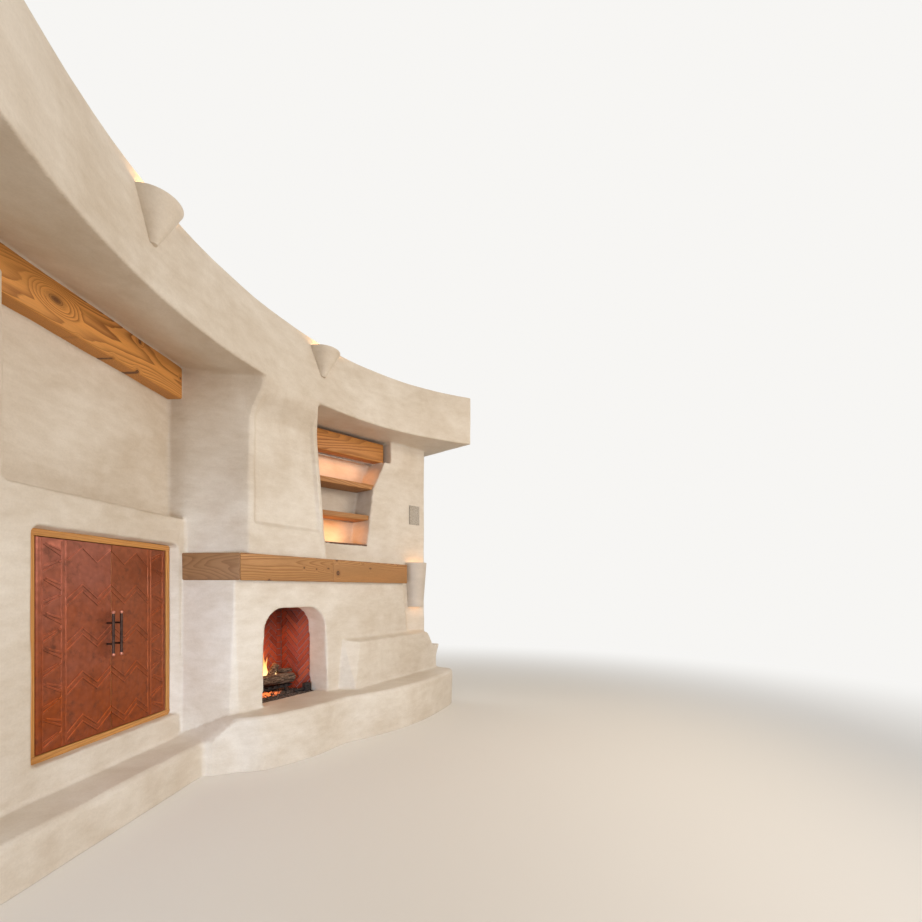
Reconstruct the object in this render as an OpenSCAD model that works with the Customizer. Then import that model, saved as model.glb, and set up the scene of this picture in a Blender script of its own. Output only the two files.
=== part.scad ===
// Adobe fireplace wall: a plastered fireplace with hearth bench, timber mantel and chimney breast,
// a built-in cupboard with two doors on its left and a lit shelf niche on its right, under a curved header.
// The origin is on the floor below the middle of the fire opening, in the plane of the mantel's front.
// X runs along the mantel to the viewer's right, Y runs into the wall.

/* [Overall] */
// Height of the whole wall
wall_top = 3550; // [3400:10:3800]
// Height of the header's underside
soffit_h = 3020; // [3000:5:3100]
// Back face of the chimney mass, behind the mantel's front
back_y = 1030; // [1000:10:1200]

/* [Plan] */
// Where the cupboard wall meets the mantel's return, sideways
cabinet_x = -794; // [-850:1:-760]
// Where the cupboard wall meets the mantel's return, inwards
cabinet_y = 425; // [400:1:460]
// Turn of the cupboard wall
cabinet_turn = 25.1; // [20:0.1:30]
// Right end of the niche wall, sideways
niche_end_x = 1946; // [1900:1:2000]
// Right end of the niche wall, inwards
niche_end_y = 30; // [25:1:60]
// Turn of the niche wall
niche_turn = 13.4; // [12:0.1:16]
// Left end of the cupboard wall, measured along it
wall_left_u = -2060; // [-2150:10:-2000]
// Thickness of the cupboard wall
cabinet_wall_t = 640; // [600:10:700]
// Thickness of the niche wall
niche_wall_t = 450; // [430:10:500]
// Joint left between pieces that meet at a turned or leaning face
seat = 0.2; // [0.1:0.05:0.3]

/* [Fireplace body] */
// Front of the body at floor level, behind the mantel's front
body_foot_y = 32; // [20:1:45]
// Left face of the body at the floor, along the cupboard wall
body_left_foot = -15; // [-25:1:0]
// Left face of the body under the mantel, along the cupboard wall
body_left_top = 10; // [0:1:30]
// Radius of the body's front left corner
body_corner_r = 150; // [80:5:170]
// Right edge of the body at the floor
body_right_foot = 1620; // [1600:1:1640]
// Right edge of the body at its middle height
body_right_mid = 1615; // [1590:1:1630]
// Middle height where the right edge starts to lean in
body_mid_h = 870; // [700:10:1000]
// Right edge of the body at the mantel
body_right_top = 1546; // [1500:1:1550]
// Right face of the chimney mass below the mantel
chimney_right = 600; // [560:5:700]

/* [Mantel] */
// Underside of the mantel
mantel_bottom = 1425; // [1380:5:1450]
// Height of the mantel timber
mantel_h = 210; // [180:5:220]
// Depth of the mantel timber
mantel_depth = 100; // [80:1:110]
// How far the mantel stands out from the plaster
mantel_proj = 50; // [30:1:60]
// Right end of the mantel
mantel_right = 1554; // [1550:1:1600]
// Butt joint between the two long timbers
mantel_joint = 390; // [200:5:600]

/* [Firebox] */
// Half the width of the fire opening at the floor
opening_half = 372; // [340:1:380]
// How far each side of the fire opening leans in below the arch
opening_lean = 36; // [0:1:40]
// Top of the fire opening
opening_top = 1200; // [1150:5:1240]
// Radius of the opening's upper corners
arch_r = 200; // [150:5:250]
// Height of the hearth in front of the fire
hearth_h = 410; // [400:5:418]
// Depth of the plastered reveal
reveal_y = 270; // [250:5:300]
// Half the width between the brick linings at the back
lining_back_half = 320; // [280:5:340]
// Front face of the back lining
lining_back_y = 620; // [580:5:640]
// Thickness of the brick lining
lining_t = 100; // [90:1:105]
// Distance of the lining from the opening's sides
lining_seat = 9; // [6:1:15]
// Top of the brick lining
lining_top = 1250; // [1245:5:1300]
// Front edge of the ember tray
tray_y = 190; // [170:5:230]
// Depth of the ember tray
tray_d = 42; // [30:1:60]
// Top of the ember bed below the hearth
ember_gap = 5; // [2:1:20]
// Width of the grate
grate_w = 400; // [340:10:440]
// Depth of the grate
grate_d = 220; // [200:10:240]
// Front of the grate behind the mantel's front
grate_y = 330; // [310:5:350]
// Height of the grate's rails above the embers
grate_h = 70; // [50:5:100]
// Bars of the grate
grate_bars = 7; // [5:1:9]
// Distance of the grate's legs from its corners
grate_leg = 40; // [30:5:60]
// Length of the lower logs
log_l = 470; // [420:10:520]
// Radius of the lower logs
low_log_r = 52; // [40:1:60]
// Radius of the upper log
high_log_r = 42; // [30:1:50]
// Inner radius of the flue
flue_r = 125; // [100:1:130]
// Wall of the flue liner
flue_t = 20; // [15:1:24]
// Middle of the flue, behind the mantel's front
flue_y = 470; // [450:5:500]

/* [Chimney breast] */
// Left edge of the breast's front on the mantel
breast_left_foot = -475; // [-510:1:-465]
// Left edge of the breast's front at the header
breast_left_top = -428; // [-440:1:-400]
// Right edge of the breast's front on the mantel
breast_right_foot = 392; // [375:1:400]
// Right edge of the breast's front at the header
breast_right_top = 278; // [260:1:300]
// Front of the breast on the mantel
breast_foot_y = 60; // [52:1:80]
// Front of the breast at the header
breast_top_y = 107; // [90:1:130]
// Radius of the breast's front corners
breast_corner_r = 55; // [20:1:70]
// Depth of the panel in the breast's front
panel_d = 30; // [15:1:40]
// Bottom of the panel
panel_z = 1885; // [1800:5:2000]
// Plaster left of the panel
panel_left = 56; // [40:1:90]
// Plaster right of the panel
panel_right = 72; // [60:1:90]
// Height of the sweep that carries the breast's head out to the header
cove_h = 300; // [200:10:350]
// Front of the breast's head behind the header's front
cove_set = 12; // [8:1:40]
// How far the breast's head draws in at its right as it sweeps out
cove_in = 70; // [40:5:90]

/* [Header] */
// Middle of the header's curve, sideways
header_mid_x = 330; // [250:5:400]
// Front of the header at its middle
header_mid_y = -10; // [-30:1:10]
// Radius of the header's left curve
header_left_r = 3900; // [3700:10:4300]
// Radius of the header's right curve
header_right_r = 2700; // [2600:10:3000]
// How far the header runs past the niche wall's end
header_over = 190; // [150:5:230]
// Radius of a plaster light shell at its top
shell_r = 152; // [120:1:180]
// Height of a plaster light shell
shell_h = 225; // [200:5:320]
// Wall of the plaster shells
shell_t = 12; // [8:1:16]
// Header left above the light shells
shell_drop = 60; // [40:5:100]
// Left light shell, sideways
left_shell_x = -1490; // [-1600:10:-1300]
// Right light shell, sideways
right_shell_x = 245; // [200:5:400]

/* [Cupboard] */
// Left side of the door frame, along the wall
frame_left_u = -1186; // [-1200:1:-1170]
// Right side of the door frame, along the wall
frame_right_u = -55; // [-70:1:-50]
// Bottom of the door frame
frame_bottom = 418; // [418:1:440]
// Top of the door frame
frame_top = 1682; // [1650:1:1700]
// Width of the frame's members
frame_w = 38; // [32:1:45]
// Depth of the frame's members
frame_d = 60; // [45:1:70]
// How far the frame lies behind the wall's face
frame_set = 54; // [40:1:60]
// How far the plaster round the doors splays out to its face
jamb_splay = 35; // [20:1:45]
// Depth of the cupboard behind the wall's face
cupboard_d = 520; // [450:10:540]
// Gap round and between the doors
door_gap = 5; // [5:0.5:6]
// Thickness of a door's wooden core
core_t = 24; // [20:1:28]
// Thickness of the copper sheet
copper_t = 3; // [2:0.5:4]
// Height of the ribs beaten into the copper
rib_t = 3; // [2:0.5:4]
// Width of a rib
rib_w = 9; // [6:1:12]
// Distance from the frame's inside to the pivots
pivot_set = 20; // [19:0.5:24]
// Radius of the pivot pins
pivot_r = 5; // [4:0.5:6]
// Clearance round pins and liners
fit_gap = 0.3; // [0.2:0.05:0.5]
// Length of a pivot pin beyond the door's edge
pivot_l = 15; // [12:1:18]

/* [Door pattern and pulls] */
// Rows of zigzag ribs, the top one a single rib
zig_rows = 5; // [4:1:5]
// Height of the lowest row's peaks
zig_first_z = 608; // [600:1:620]
// Distance between rows
zig_pitch = 258; // [245:1:262]
// Height of a zigzag
zig_h = 84; // [60:1:90]
// Distance between the two ribs of a row
zig_pair = 38; // [28:1:45]
// Distance of the outer band of bars from a door's pivot
band_x = 18; // [16:1:24]
// Where the outer band of bars ends
edge_band = 140; // [125:1:150]
// Width of the plain strip beside the band
band_strip = 38; // [24:1:45]
// Length of a pull
pull_l = 270; // [240:5:320]
// Middle height of the pulls
pull_z = 1075; // [1000:5:1150]
// Distance between a pull's posts
pull_posts = 132; // [120:2:180]
// Radius of a pull
pull_r = 8; // [6:0.5:10]
// Clear space behind a pull
pull_gap = 34; // [28:1:40]
// Distance from a door's free edge to its pull
pull_set = 31; // [26:1:45]

/* [Picture alcove] */
// Height of the ledge above the cupboard
ledge_h = 1900; // [1880:5:1950]
// Depth of the alcove
alcove_d = 135; // [80:5:150]
// Height of the alcove's beam
beam_h = 245; // [180:5:260]
// Depth of the alcove's beam
beam_d = 200; // [160:5:260]
// Front of the beam behind the wall's face
beam_set = 20; // [15:1:40]
// Top of the plaster that covers the front of the beam's left end
pier_top = 2925; // [2890:5:2960]
// Left side of the alcove, along the wall
pier_right_u = -1362; // [-1400:1:-1330]
// How far the header's underside rises above its edge, over the picture alcove
soffit_rise = 48; // [20:1:80]
// How far in front of the wall that rise starts
rise_w = 300; // [200:10:400]

/* [Niche] */
// Bottom of the niche
niche_bottom = 1840; // [1820:5:1860]
// Thickness of the dark sill board
sill_t = 20; // [16:1:30]
// Distance of the lintel's underside from the header
lintel_drop = 240; // [220:5:280]
// Height of the niche's lintel
lintel_h = 210; // [180:5:215]
// Front of the lintel behind the wall's face
lintel_set = 80; // [60:5:100]
// Depth of the lintel
lintel_d = 120; // [100:5:130]
// Depth of the niche
niche_d = 300; // [280:5:330]
// Left side of the niche, along the wall
niche_left = -1500; // [-1540:5:-1460]
// Right side of the niche at its bottom, along the wall
niche_right_foot = -838; // [-860:1:-815]
// Right side of the niche under its upper shelf, along the wall
niche_right_knee = -760; // [-790:1:-740]
// Right side of the niche at its lintel, along the wall
niche_right_top = -595; // [-620:1:-580]
// Right side of the recess in front of the lintel
lintel_right = -513; // [-540:1:-500]
// Height between the upper shelf and the lintel
upper_bay_h = 280; // [230:5:330]
// Height between the bottom of the niche and the lower shelf's top
lower_bay_h = 320; // [280:5:360]
// Thickness of the shelves
shelf_t = 54; // [40:1:60]
// Front of the shelves behind the wall's face
shelf_set = 25; // [15:1:60]

/* [Wall light and speaker] */
// Middle of the wall light, along the wall
sconce_x = -161; // [-175:1:-150]
// Bottom of the wall light
sconce_z = 1155; // [1100:5:1200]
// Height of the wall light
sconce_h = 515; // [450:5:550]
// Radius of the wall light at its top
sconce_top_r = 142; // [110:1:145]
// Radius of the wall light at its bottom
sconce_foot_r = 103; // [80:1:110]
// Left edge of the speaker, along the wall
speaker_x = -245; // [-300:5:-230]
// Bottom of the speaker
speaker_z = 2116; // [2050:5:2200]
// Width of the speaker
speaker_w = 155; // [130:5:170]
// Height of the speaker
speaker_h = 221; // [180:1:240]
// Width of the speaker's rim, and how far it stands out
speaker_rim = 8; // [5:1:12]

/* [Hearth bench] */
// Height of the bench below the cupboard
bench_low_h = 250; // [220:5:280]
// Width of the bench below the cupboard
bench_low_w = 300; // [260:5:340]
// Where the ramp between low bench and hearth starts, along the cupboard wall
ramp_foot_u = -196; // [-230:2:-160]
// Where the ramp meets the hearth, sideways
ramp_head_x = -645; // [-680:5:-620]
// How far the ramp's head stands out before the mantel's front
ramp_head_w = 72; // [50:2:100]
// How far the hearth stands out before the fire
bench_fire_w = 285; // [260:5:310]
// How far the hearth stands out at its widest
bench_wide_w = 412; // [390:1:430]
// How far the hearth stands out at its right end
bench_end_w = 255; // [230:5:280]
// Right end of the bench
bench_right = 2190; // [2180:5:2230]
// How far the bench's front right corner lies before its end
bench_skew = 65; // [40:5:90]
// How far the bench reaches in past the wall's face
bench_in = 150; // [130:5:170]
// Radius of the bench's nose
bench_nose = 48; // [30:1:60]
// Front of the backrest block at its left
rest_left_y = -118; // [-140:1:-90]
// Front of the backrest block at its right
rest_right_y = -35; // [-60:1:-25]
// Left end of the backrest block at its foot
rest_left_x = 469; // [460:1:490]
// How far the backrest's left end leans in up to its top
rest_lean_in = 92; // [60:1:120]
// How far the backrest's front leans back up to its top
rest_front_lean = 58; // [40:1:80]
// Top of the backrest block along the wall
rest_back_z = 870; // [850:5:920]
// Top of the backrest block along its front
rest_front_z = 846; // [820:1:860]
// Where the backrest's top ends
rest_top_x = 1895; // [1860:5:1920]
// Sweep of the backrest's left end
rest_sweep = 88; // [60:1:100]
// Height of the lip at the backrest's right end
rest_lip_z = 697; // [660:1:740]
// Thickness of the lip
rest_lip = 18; // [12:1:30]
// How far the backrest's right end leans out under the lip
rest_lean = 65; // [40:1:90]
// Distance from the lip's tip to the notch where the top turns down
rest_notch = 138; // [110:1:160]
// How far the backrest ends before the bench
rest_gap = 8; // [5:1:20]
// How far the bench's foot lies behind its top edge
bench_tuck = 15; // [0:1:40]
// Unevenness of the bench's front
bench_wave = 18; // [0:1:30]

/* [Hidden] */
$fn = 64;
far = 3000;
plaster = [0.90, 0.86, 0.79];
timber = [0.78, 0.52, 0.26];
copper = [0.45, 0.20, 0.13];
iron = [0.15, 0.14, 0.14];
firebrick = [0.70, 0.27, 0.18];

mantel_top = mantel_bottom + mantel_h;
throat_r = flue_r + 2;
body_u = mantel_proj;
beam_bottom = soffit_h + soffit_rise - beam_h;
beam_top = soffit_h + soffit_rise - seat;
spring_z = opening_top - arch_r;
lintel_bottom = soffit_h - lintel_drop;
upper_shelf_z = lintel_bottom - upper_bay_h;
lower_shelf_z = niche_bottom + lower_bay_h;
bench_back_y = niche_end_y + bench_in;
cut_deep = niche_wall_t / 8;
frame_in_left = frame_left_u + frame_w;
frame_in_right = frame_right_u - frame_w;
door_skin = core_t / 2 + copper_t;
pivot_v = frame_set + door_skin;
leaf_l = (frame_in_right - frame_in_left) / 2 - pivot_set - door_gap / 2;
leaf_bottom = frame_bottom + frame_w + door_gap;
leaf_top = frame_top - frame_w - door_gap;

// A point of the cupboard wall's own plan, u along the wall and v into it
function cab(u, v) = [cabinet_x + u * cos(cabinet_turn) - v * sin(cabinet_turn),
    cabinet_y + u * sin(cabinet_turn) + v * cos(cabinet_turn)];
// The point at depth y on the line u of the cupboard wall
function cab_at_y(u, y) = cab(u, (y - cabinet_y - u * sin(cabinet_turn)) / cos(cabinet_turn));
// A point of the niche wall's own plan
function nch(x, y) = [niche_end_x + x * cos(niche_turn) + y * sin(niche_turn),
    niche_end_y - x * sin(niche_turn) + y * cos(niche_turn)];
// The point at world x on a line parallel to the niche wall
function nch_at_x(x, y) = nch((x - niche_end_x - y * sin(niche_turn)) / cos(niche_turn), y);
function unit(v) = v / norm(v);
function lerp(a, b, t) = a + (b - a) * t;
// Points of the arc that rounds corner p between a and b
function fillet(a, p, b, r, n) = let (
        d1 = unit(a - p),
        d2 = unit(b - p),
        half = acos(d1 * d2) / 2,
        c = p + unit(d1 + d2) * r / sin(half),
        s = p + d1 * r / tan(half),
        e = p + d2 * r / tan(half),
        a0 = atan2(s.y - c.y, s.x - c.x),
        turn = (atan2(e.y - c.y, e.x - c.x) - a0 + 540) % 360 - 180)
    [for (i = [0:n]) c + r * [cos(a0 + turn * i / n), sin(a0 + turn * i / n)]];
// Where a ray from p along d first meets a circle
function on_circle(p, d, c, r) = let (
        f = p - c,
        b = f * d)
    p + d * (-b - sqrt(b * b - f * f + r * r));
// Points of an arc from angle a0 to a1
function arc(c, r, a0, a1, n) = [for (i = [0:n])
    let (a = lerp(a0, a1, i / n))
    c + r * [cos(a), sin(a)]];
// Half the width of the fire opening at height z
function opening_x(z) = opening_half - opening_lean * min(1, z / spring_z);
mantel_corner = cab_at_y(0, 0);
mantel_inner = cab_at_y(mantel_depth, mantel_depth);

module in_cabinet() {
    translate([cabinet_x, cabinet_y, 0])
        rotate([0, 0, cabinet_turn])
            children();
}
module in_niche() {
    translate([niche_end_x, niche_end_y, 0])
        rotate([0, 0, -niche_turn])
            children();
}
// An outline drawn in X and Z, run from y0 to y1
module along_y(y0, y1) {
    translate([0, y1, 0])
        rotate([90, 0, 0])
            linear_extrude(y1 - y0)
                children();
}
// An outline drawn in Y and Z, run from x0 to x1
module along_x(x0, x1) {
    translate([x0, 0, 0])
        rotate([90, 0, 90])
            linear_extrude(x1 - x0)
                children();
}
module block(x0, x1, y0, y1, z0, z1) {
    translate([x0, y0, z0])
        cube([x1 - x0, y1 - y0, z1 - z0]);
}
module slab(z0, z1) {
    translate([0, 0, z0])
        linear_extrude(z1 - z0)
            children();
}

// The whole lower mass of the fireplace, before its opening is cut; as a cutter it starts lower
// and runs deeper into the niche wall
module body_mass(foot = 0, deep = 0) {
    left_back = cab_at_y(body_u, back_y);
    left_end = cab(body_left_foot - 1, -seat);
    corner = cab_at_y(body_left_foot - 1, body_foot_y);
    right_front = [body_right_foot, body_foot_y];
    difference() {
        intersection() {
            slab(foot, mantel_top)
                polygon(concat([left_back, cab(body_u, -seat), left_end],
                    fillet(left_end, corner, right_front, body_corner_r, 12),
                    [right_front, nch_at_x(body_right_foot, deep), nch_at_x(chimney_right, deep),
                    [chimney_right, back_y]]));
            along_x(-far, far)
                polygon([[body_foot_y, foot - 1], [body_foot_y, 0], [mantel_proj, mantel_bottom],
                    [mantel_proj, mantel_top], [back_y, mantel_top], [back_y, foot - 1]]);
            along_y(-far, far)
                polygon([[-far, foot - 1], [body_right_foot, foot - 1], [body_right_foot, 0],
                    [body_right_mid, body_mid_h],
                    [body_right_top, mantel_bottom], [body_right_top, mantel_top], [-far, mantel_top]]);
            in_cabinet()
                along_y(-far, far)
                    polygon([[body_left_foot, foot - 1], [body_left_foot, 0], [body_left_top, mantel_bottom],
                        [body_left_top, mantel_top], [far, mantel_top], [far, foot - 1]]);
        }
        slab(mantel_bottom, far)
            polygon([cab(mantel_depth, 0), cab(-mantel_depth, 0), [-far, -far], [far, -far],
                [far, mantel_depth], mantel_inner]);
    }
}
lining_out = opening_half + lining_t + lining_seat;
chamber_back = lining_back_y + lining_t;
// The space for the reveal, the brick lining and the chimney back
module fire_space() {
    side = opening_x(spring_z);
    along_y(-far, reveal_y)
        polygon([[-opening_half, -1], [opening_half, -1], [opening_half, 0], [side, spring_z], [side, far],
            [-side, far], [-side, spring_z], [-opening_half, 0]]);
    block(-lining_out, lining_out, reveal_y, far, -1, far);
}
module left_fire_pier() {
    color(plaster)
        difference() {
            body_mass();
            fire_space();
            block(0, far, -far, far, -1, far);
        }
}
module right_fire_pier() {
    color(plaster)
        difference() {
            body_mass();
            fire_space();
            block(-far, 0, -far, far, -1, far);
            block(chimney_right, far, -far, far, -1, far);
        }
}
module right_wing() {
    color(plaster)
        difference() {
            body_mass();
            block(-far, chimney_right, -far, far, -1, far);
        }
}
module fire_arch() {
    side = opening_x(spring_z);
    color(plaster)
        difference() {
            intersection() {
                body_mass();
                block(-side, side, -far, reveal_y, spring_z, far);
            }
            along_y(-far, far) {
                translate([arch_r - side, spring_z])
                    circle(arch_r);
                translate([side - arch_r, spring_z])
                    circle(arch_r);
                translate([arch_r - side, 0])
                    square([2 * (side - arch_r), opening_top]);
            }
        }
}
// The ember tray's outline, just inside the linings
module tray_plan(inset) {
    half = opening_x(hearth_h) - lining_seat - inset;
    back = lining_back_half - inset;
    polygon([[-half, tray_y + inset], [half, tray_y + inset], [half, reveal_y],
        [back, lining_back_y - inset], [-back, lining_back_y - inset], [-half, reveal_y]]);
}
module firebox_plinth() {
    side = opening_x(hearth_h) - seat;
    color(plaster)
        difference() {
            intersection() {
                body_mass();
                union() {
                    along_y(-far, reveal_y)
                        polygon([[-opening_half + seat, 0], [opening_half - seat, 0],
                            [side, hearth_h], [-side, hearth_h]]);
                    block(-lining_out, lining_out, reveal_y, chamber_back, 0, hearth_h);
                }
            }
            slab(hearth_h - tray_d, far)
                tray_plan(0);
        }
}
module chimney_back() {
    color(plaster)
        union() {
            block(-lining_out, lining_out, chamber_back, back_y, 0, mantel_top);
            slab(mantel_top, soffit_h)
                polygon([cab_at_y(body_u, chamber_back), [breast_right_foot, chamber_back],
                    [breast_right_foot, back_y], cab_at_y(body_u, back_y)]);
        }
}
module lining_side() {
    slab(hearth_h, lining_top)
        polygon([[opening_x(hearth_h) + lining_seat / 2, reveal_y], [lining_out, reveal_y],
            [lining_out, lining_back_y], [lining_back_half, lining_back_y]]);
}
module firebox_right() {
    color(firebrick)
        lining_side();
}
module firebox_left() {
    color(firebrick)
        mirror([1, 0, 0])
            lining_side();
}
module firebox_back() {
    color(firebrick)
        block(-lining_out, lining_out, lining_back_y, chamber_back, hearth_h, lining_top);
}
// The tapered space above the fire
module smoke_chamber() {
    chamber_top = mantel_top - 3 * flue_t;
    throat = flue_r - flue_t;
    color(plaster)
        difference() {
            block(-lining_out, lining_out, reveal_y, chamber_back, lining_top, mantel_top);
            intersection() {
                along_y(reveal_y - 1, chamber_back)
                    polygon([[-lining_back_half, lining_top - 1], [lining_back_half, lining_top - 1],
                        [throat, chamber_top], [-throat, chamber_top]]);
                along_x(-far, far)
                    polygon([[reveal_y + flue_t, lining_top - 1], [lining_back_y, lining_top - 1],
                        [flue_y + throat, chamber_top], [flue_y - throat, chamber_top]]);
            }
            translate([0, flue_y, chamber_top - 4 * flue_t])
                cylinder(h = far, r = throat_r);
        }
}
module flue_liner() {
    color(firebrick)
        translate([0, flue_y, mantel_top])
            difference() {
                cylinder(h = wall_top - mantel_top, r = flue_r + flue_t);
                translate([0, 0, -1])
                    cylinder(h = far, r = flue_r);
            }
}
module flue_hole() {
    translate([0, flue_y, mantel_top - 1])
        cylinder(h = far, r = flue_r + flue_t + fit_gap);
}
module ember_bed() {
    color(iron)
        slab(hearth_h - tray_d, grate_bottom)
            tray_plan(1);
}
bar_r = 8;
grate_bottom = hearth_h - ember_gap;
grate_rail = grate_bottom + grate_h;
// An iron grate of bars on two rails with four legs
module log_grate() {
    back = grate_y + grate_d;
    side = grate_w / 2 - bar_r;
    color(iron)
        union() {
            for (i = [0:grate_bars - 1])
                translate([lerp(-side, side, i / (grate_bars - 1)), grate_y, grate_rail + bar_r])
                    rotate([-90, 0, 0])
                        cylinder(h = grate_d, r = bar_r);
            for (y = [grate_y + grate_leg, back - grate_leg]) {
                block(-side - 2 * bar_r, side + 2 * bar_r, y - bar_r, y + bar_r,
                    grate_rail - 2 * bar_r, grate_rail + bar_r);
                for (s = [-1, 1])
                    translate([s * (side - grate_leg), 0, 0])
                        block(-bar_r, bar_r, y - bar_r, y + bar_r, grate_bottom, grate_rail);
            }
        }
}
module fire_log(y, z, r, l) {
    translate([-l / 2, y, z])
        rotate([0, 90, 0])
            cylinder(h = l, r = r);
}
// Three round logs, two on the grate and one resting on both
module fire_logs() {
    low_z = grate_rail + 2 * bar_r + low_log_r + fit_gap;
    middle = grate_y + grate_d / 2;
    apart = low_log_r + fit_gap;
    rise = sqrt(pow(low_log_r + high_log_r + fit_gap, 2) - pow(apart, 2));
    color([0.25, 0.17, 0.12]) {
        fire_log(middle - apart, low_z, low_log_r, log_l);
        fire_log(middle + apart, low_z, low_log_r, log_l + 30);
        fire_log(middle, low_z + rise, high_log_r, log_l - 40);
    }
}
// Front of the header's curve at x
function header_front(x) = let (r = x < header_mid_x ? header_left_r : header_right_r)
    header_mid_y - r + sqrt(r * r - pow(x - header_mid_x, 2));
// How far the breast's head has swept out to the header, from 0 where the sweep starts to 1
function cove(z) = let (t = max(0, 1 - (soffit_h - z) / cove_h)) t * t * (3 - 2 * t);
function breast_rise(z) = (z - mantel_top) / (soffit_h - mantel_top);
function breast_left(z) = lerp(breast_left_foot, breast_left_top, breast_rise(z));
function breast_right(z) = lerp(breast_right_foot, breast_right_top, breast_rise(z)) - cove_in * cove(z);
function breast_point(x, z) = [x, lerp(lerp(breast_foot_y, breast_top_y, breast_rise(z)),
    header_front(x) + cove_set, cove(z))];
function breast_plan(z) = let (
        side = cab(body_u, 0),
        left = breast_point(breast_left(z), z),
        right = breast_point(breast_right(z), z),
        back = nch_at_x(breast_right_foot, 0))
    concat([cab_at_y(body_u, chamber_back), side],
        fillet(side, left, right, breast_corner_r, 8),
        fillet(left, right, back, breast_corner_r, 8),
        [back, [breast_right_foot, chamber_back]]);
// A closed skin through rings that all have the same number of points
module loft(rings) {
    n = len(rings);
    m = len(rings[0]);
    polyhedron(
        points = [for (r = rings, p = r) p],
        faces = concat(
            [[for (j = [m - 1:-1:0]) j]],
            [for (i = [0:n - 2], j = [0:m - 1], half = [0, 1])
                let (a = i * m + j, b = i * m + (j + 1) % m)
                half == 0 ? [b, a + m, a] : [b + m, a + m, b]],
            [[for (j = [0:m - 1]) (n - 1) * m + j]]));
}
panel_top = soffit_h - 0.25 * cove_h;
// The panel's floor comes forward as the head sweeps out, until it meets the face
function panel_ring(z) = let (
        depth = lerp(panel_d, -1, cove(z) / cove(panel_top)),
        left = breast_left(z) + panel_left,
        right = breast_right(z) - panel_right)
    [[left, -far], [right, -far], breast_point(right, z) + [0, depth], breast_point(left, z) + [0, depth]];
cove_steps = 6;
// Heights from top down to the start of the sweep
function cove_levels(top) = [for (i = [0:cove_steps]) lerp(top, soffit_h - cove_h, i / cove_steps)];
// The tapered breast between mantel and header, its head swept out, with a panel that fades into the sweep
module chimney_breast() {
    color(plaster)
        difference() {
            loft([for (z = concat(cove_levels(soffit_h), [mantel_top]))
                [for (p = breast_plan(z)) [p.x, p.y, z]]]);
            loft([for (z = concat(cove_levels(panel_top), [panel_z]))
                [for (p = panel_ring(z)) [p.x, p.y, z]]]);
            flue_hole();
        }
}

module mantel_return() {
    color(timber)
        slab(mantel_bottom, mantel_top)
            polygon([cab(0, 0), mantel_corner, mantel_inner, cab(mantel_depth, 0)]);
}
module mantel_left() {
    color(timber)
        slab(mantel_bottom, mantel_top)
            polygon([mantel_corner, [mantel_joint, 0], [mantel_joint, mantel_depth], mantel_inner]);
}
module mantel_right() {
    color(timber)
        block(mantel_joint, mantel_right, 0, mantel_depth, mantel_bottom, mantel_top);
}

module cabinet_base_wall() {
    color(plaster)
        in_cabinet()
            block(frame_left_u, frame_right_u, 0, cabinet_wall_t, 0, frame_bottom);
}
// The splay cut off a jamb beside the doors, on side -1 or 1
module jamb_wedge(u, side) {
    slab(frame_bottom, frame_top)
        polygon([[u - side, frame_set], [u, frame_set], [u + side * jamb_splay, 0],
            [u + side * jamb_splay, -1], [u - side, -1]]);
}
module cabinet_left_wall() {
    color(plaster)
        in_cabinet()
            difference() {
                block(pier_right_u, frame_left_u, 0, cabinet_wall_t, 0, ledge_h);
                jamb_wedge(frame_left_u, -1);
            }
}
module cabinet_right_wall() {
    color(plaster)
        in_cabinet()
            difference() {
                block(frame_right_u, body_u - seat, 0, cabinet_wall_t, 0, ledge_h);
                jamb_wedge(frame_right_u, 1);
            }
}
// The wall over the doors and the wall behind the cupboard
module cabinet_head_wall() {
    color(plaster)
        in_cabinet()
            along_x(frame_left_u, frame_right_u)
                polygon([[0, frame_top + jamb_splay / 2], [frame_set, frame_top],
                    [cupboard_d, frame_top], [cupboard_d, frame_bottom],
                    [cabinet_wall_t, frame_bottom], [cabinet_wall_t, ledge_h], [0, ledge_h]]);
}
module left_pier() {
    color(plaster)
        in_cabinet()
            difference() {
                block(wall_left_u, pier_right_u, 0, cabinet_wall_t, 0, beam_top);
                block(wall_left_u - 1, pier_right_u + 1, beam_set - seat, beam_d, beam_bottom, wall_top);
                block(wall_left_u - 1, pier_right_u + 1, -1, beam_d, pier_top, wall_top);
            }
}
module alcove_back_wall() {
    color(plaster)
        in_cabinet()
            union() {
                block(pier_right_u, body_u - seat, alcove_d, cabinet_wall_t, ledge_h, beam_bottom);
                block(pier_right_u, body_u - seat, beam_d, cabinet_wall_t, beam_bottom, beam_top);
            }
}
module alcove_beam() {
    color(timber)
        in_cabinet()
            block(wall_left_u, body_u - seat, beam_set, beam_d - seat, beam_bottom, beam_top);
}
module cabinet_frame_stiles() {
    color(timber)
        in_cabinet()
            for (u = [frame_left_u, frame_in_right])
                block(u, u + frame_w, frame_set, frame_set + frame_d,
                    frame_bottom + frame_w, frame_top - frame_w);
}
// Head and sill of the door frame, with the pivots' sockets
module cabinet_frame_rails() {
    color(timber)
        in_cabinet()
            difference() {
                for (z = [frame_bottom, frame_top - frame_w])
                    block(frame_left_u, frame_right_u, frame_set, frame_set + frame_d, z, z + frame_w);
                for (u = [frame_in_left + pivot_set, frame_in_right - pivot_set]) {
                    translate([u, pivot_v, leaf_bottom - pivot_l - fit_gap])
                        cylinder(h = pivot_l, r = pivot_r + fit_gap);
                    translate([u, pivot_v, leaf_top + fit_gap])
                        cylinder(h = pivot_l, r = pivot_r + fit_gap);
                }
            }
}
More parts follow.
